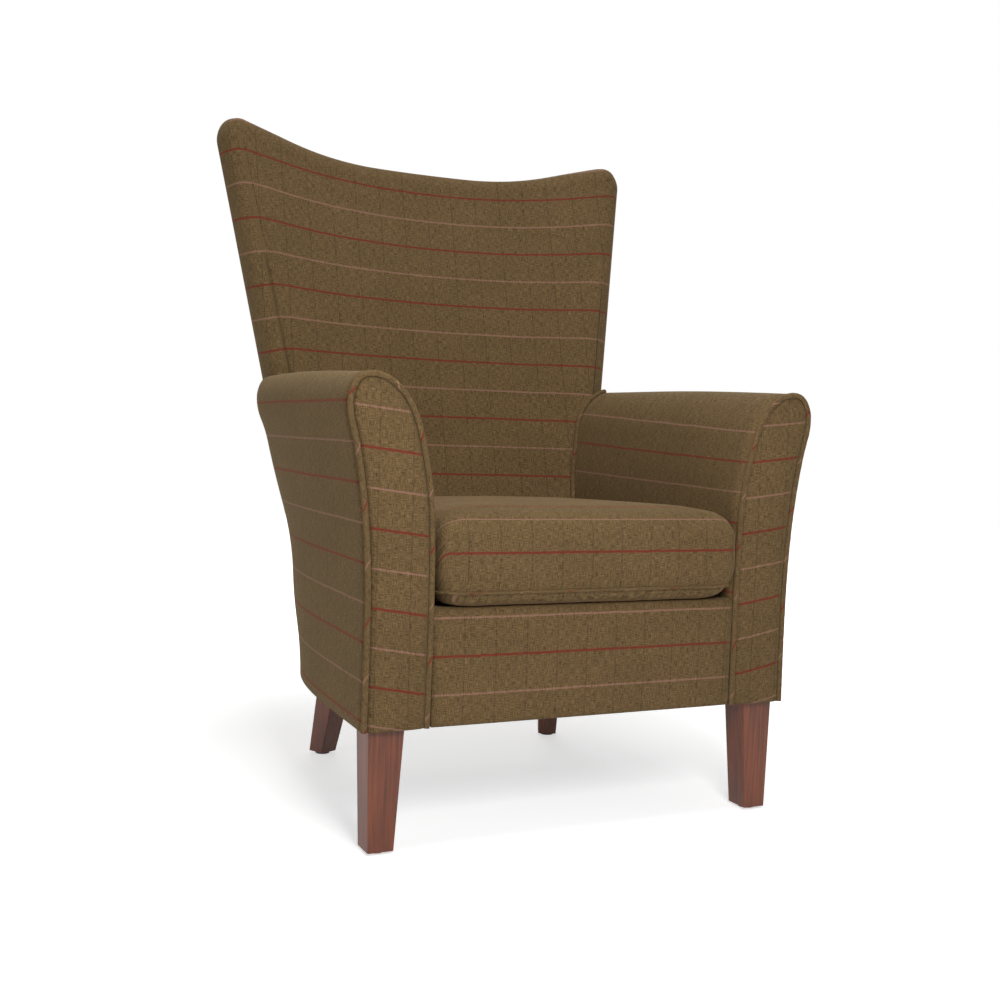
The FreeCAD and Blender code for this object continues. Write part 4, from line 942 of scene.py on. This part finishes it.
def plain_material(name, colour, rough, metal=0.0, scale=300.0, spread=0.12):
    """One colour with a fine unevenness of shade, gloss and surface."""
    material, tree, shader = material_tree(name)
    place = put(tree, "ShaderNodeTexCoord").outputs["Object"]
    mottle = thread_noise(tree, place, (scale, scale, scale), 3.0)
    darker = tuple(c * (1 - spread) for c in colour[:3]) + (1,)
    lighter = tuple(min(1, c * (1 + spread)) for c in colour[:3]) + (1,)
    tree.links.new(blend_colours(tree, mottle, darker, lighter), shader.inputs["Base Color"])
    tree.links.new(sums(tree, "MULTIPLY_ADD", mottle, 0.12, rough), shader.inputs["Roughness"])
    shader.inputs["Metallic"].default_value = metal
    return material


def paint(material, *names):
    for name in names:
        mesh = nodes[name].data
        mesh.materials.clear()
        mesh.materials.append(material)


stained = wood_material("stained_wood", tone(62, 29, 16), tone(134, 72, 45), 0.36)
paint(stained, "front_leg_left", "front_leg_right", "rear_leg_left", "rear_leg_right")
paint(plain_material("glide_plastic", tone(38, 34, 31), 0.45), "leg_glides")

# Inside: a beech frame with hardboard panels, wire springs in clips, bolts for the legs.
beech = wood_material("frame_beech", tone(176, 138, 96), tone(214, 182, 138), 0.5)
hands = ("right", "left")
paint(beech, "back_top_rail", "back_stay_rail", "front_rail", "seat_back_rail", "corner_blocks", *(
    f"{stem}_{hand}" for hand in hands
    for stem in ("front_post", "arm_top_rail", "arm_tack_rail", "side_rail", "back_upright")))
board = plain_material("fibreboard", tone(128, 92, 62), 0.75, scale=500.0)
paint(board, "outside_back_panel", "outside_arm_panel_right", "outside_arm_panel_left")
steel = plain_material("spring_steel", tone(122, 122, 124), 0.3, 1.0)
paint(steel, "seat_springs", "spring_clips", "leg_bolts")
zip_metal = plain_material("zip_metal", tone(176, 168, 146), 0.28, 1.0)
paint(zip_metal, "zip_slider", "zip_pull")
zip_nylon = plain_material("zip_nylon", tone(62, 50, 36), 0.5)


# Zip: a nylon coil on its woven tape along the back of the cushion.
ZIP_LEVEL = 0.45
ZIP_HALF = 200
TAPE_WIDTH = 26
TAPE_SUNK = 0.3
TAPE_THICKNESS = 1.0


def zip_band():
    """A strip that follows the bowed rear of the cushion over most of its length."""
    ring = cushion_ring(0.0)
    rear = ring[ring[:, 1] > 440]
    rear = rear[np.argsort(rear[:, 0])]
    xs = np.linspace(-ZIP_HALF, ZIP_HALF, 80)
    depth = np.interp(xs, rear[:, 0], rear[:, 1]) - TAPE_SUNK
    middle = CUSHION_BASE + CUSHION_HEIGHT * ZIP_LEVEL
    points = []
    for back in (0.0, TAPE_THICKNESS):
        for z in (middle - TAPE_WIDTH / 2, middle + TAPE_WIDTH / 2):
            points += [(x, FACING_Y + d + back, z) for x, d in zip(xs, depth)]
    count = len(xs)
    faces = []
    for k in range(count - 1):
        for a, b in ((0, 1), (1, 3), (3, 2), (2, 0)):
            faces.append((a * count + k, a * count + k + 1, b * count + k + 1, b * count + k))
    faces += [(0, count, 3 * count, 2 * count), (count - 1, 2 * count - 1, 4 * count - 1, 3 * count - 1)]
    return mesh_object("zip_tape_strip", tilted(points), faces, smooth=False)


def repeat_material(name, colour, thread, step, axis):
    """Tape or webbing: a plain colour crossed by fine raised threads at this step."""
    material, tree, shader = material_tree(name)
    place = put(tree, "ShaderNodeTexCoord").outputs["Object"]
    split = put(tree, "ShaderNodeSeparateXYZ")
    tree.links.new(place, split.inputs[0])
    wave = sums(tree, "SINE", sums(tree, "MULTIPLY", split.outputs[axis], 2 * math.pi / step))
    mottle = thread_noise(tree, place, (400, 400, 400))
    factor = sums(tree, "MULTIPLY_ADD", wave, 0.35, mottle, True)
    tree.links.new(blend_colours(tree, factor, colour, thread), shader.inputs["Base Color"])
    shader.inputs["Roughness"].default_value = 0.8
    bump = put(tree, "ShaderNodeBump", Strength=0.4, Distance=0.0004)
    tree.links.new(wave, bump.inputs["Height"])
    tree.links.new(bump.outputs["Normal"], shader.inputs["Normal"])
    return material


paint(repeat_material("zip_coil_nylon", tone(54, 43, 30), tone(96, 80, 58), 0.0014, "X"), "zip_coil")
tape = dress(zip_band(), "seat_cushion", zip_nylon)
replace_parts(tape, "zip_tape")


# Under the seat: the deck cloth over its pad, the felt over the springs, the black cloth
# stapled under the frame, and behind the back pad the rubber webbing.
def from_node(node, name, material):
    """A piece of the chair that keeps the shape of its CAD node."""
    item = bpy.data.objects.new(name, nodes[node].data.copy())
    bpy.context.scene.collection.objects.link(item)
    item.data.materials.clear()
    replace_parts(dress(item, "chair", material), node)
    return item


deck_cloth = repeat_material("deck_cloth", tone(70, 58, 42), tone(104, 90, 66), 0.0012, "X")
deck = from_node("deck_cover", "deck_cloth_sheet", deck_cloth)
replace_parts(deck, "deck_pad")
felt_wool = plain_material("felt", tone(120, 116, 110), 0.95, scale=700.0, spread=0.3)
felt = from_node("spring_felt", "felt_sheet", felt_wool)
black_cloth = repeat_material("black_cloth", tone(22, 22, 22), tone(44, 44, 44), 0.0016, "X")
dust = from_node("dust_cover", "dust_cloth", black_cloth)
webbing = repeat_material("webbing", tone(150, 128, 92), tone(84, 66, 44), 0.006, "Z")
webs = from_node("back_webbing", "back_webs", webbing)
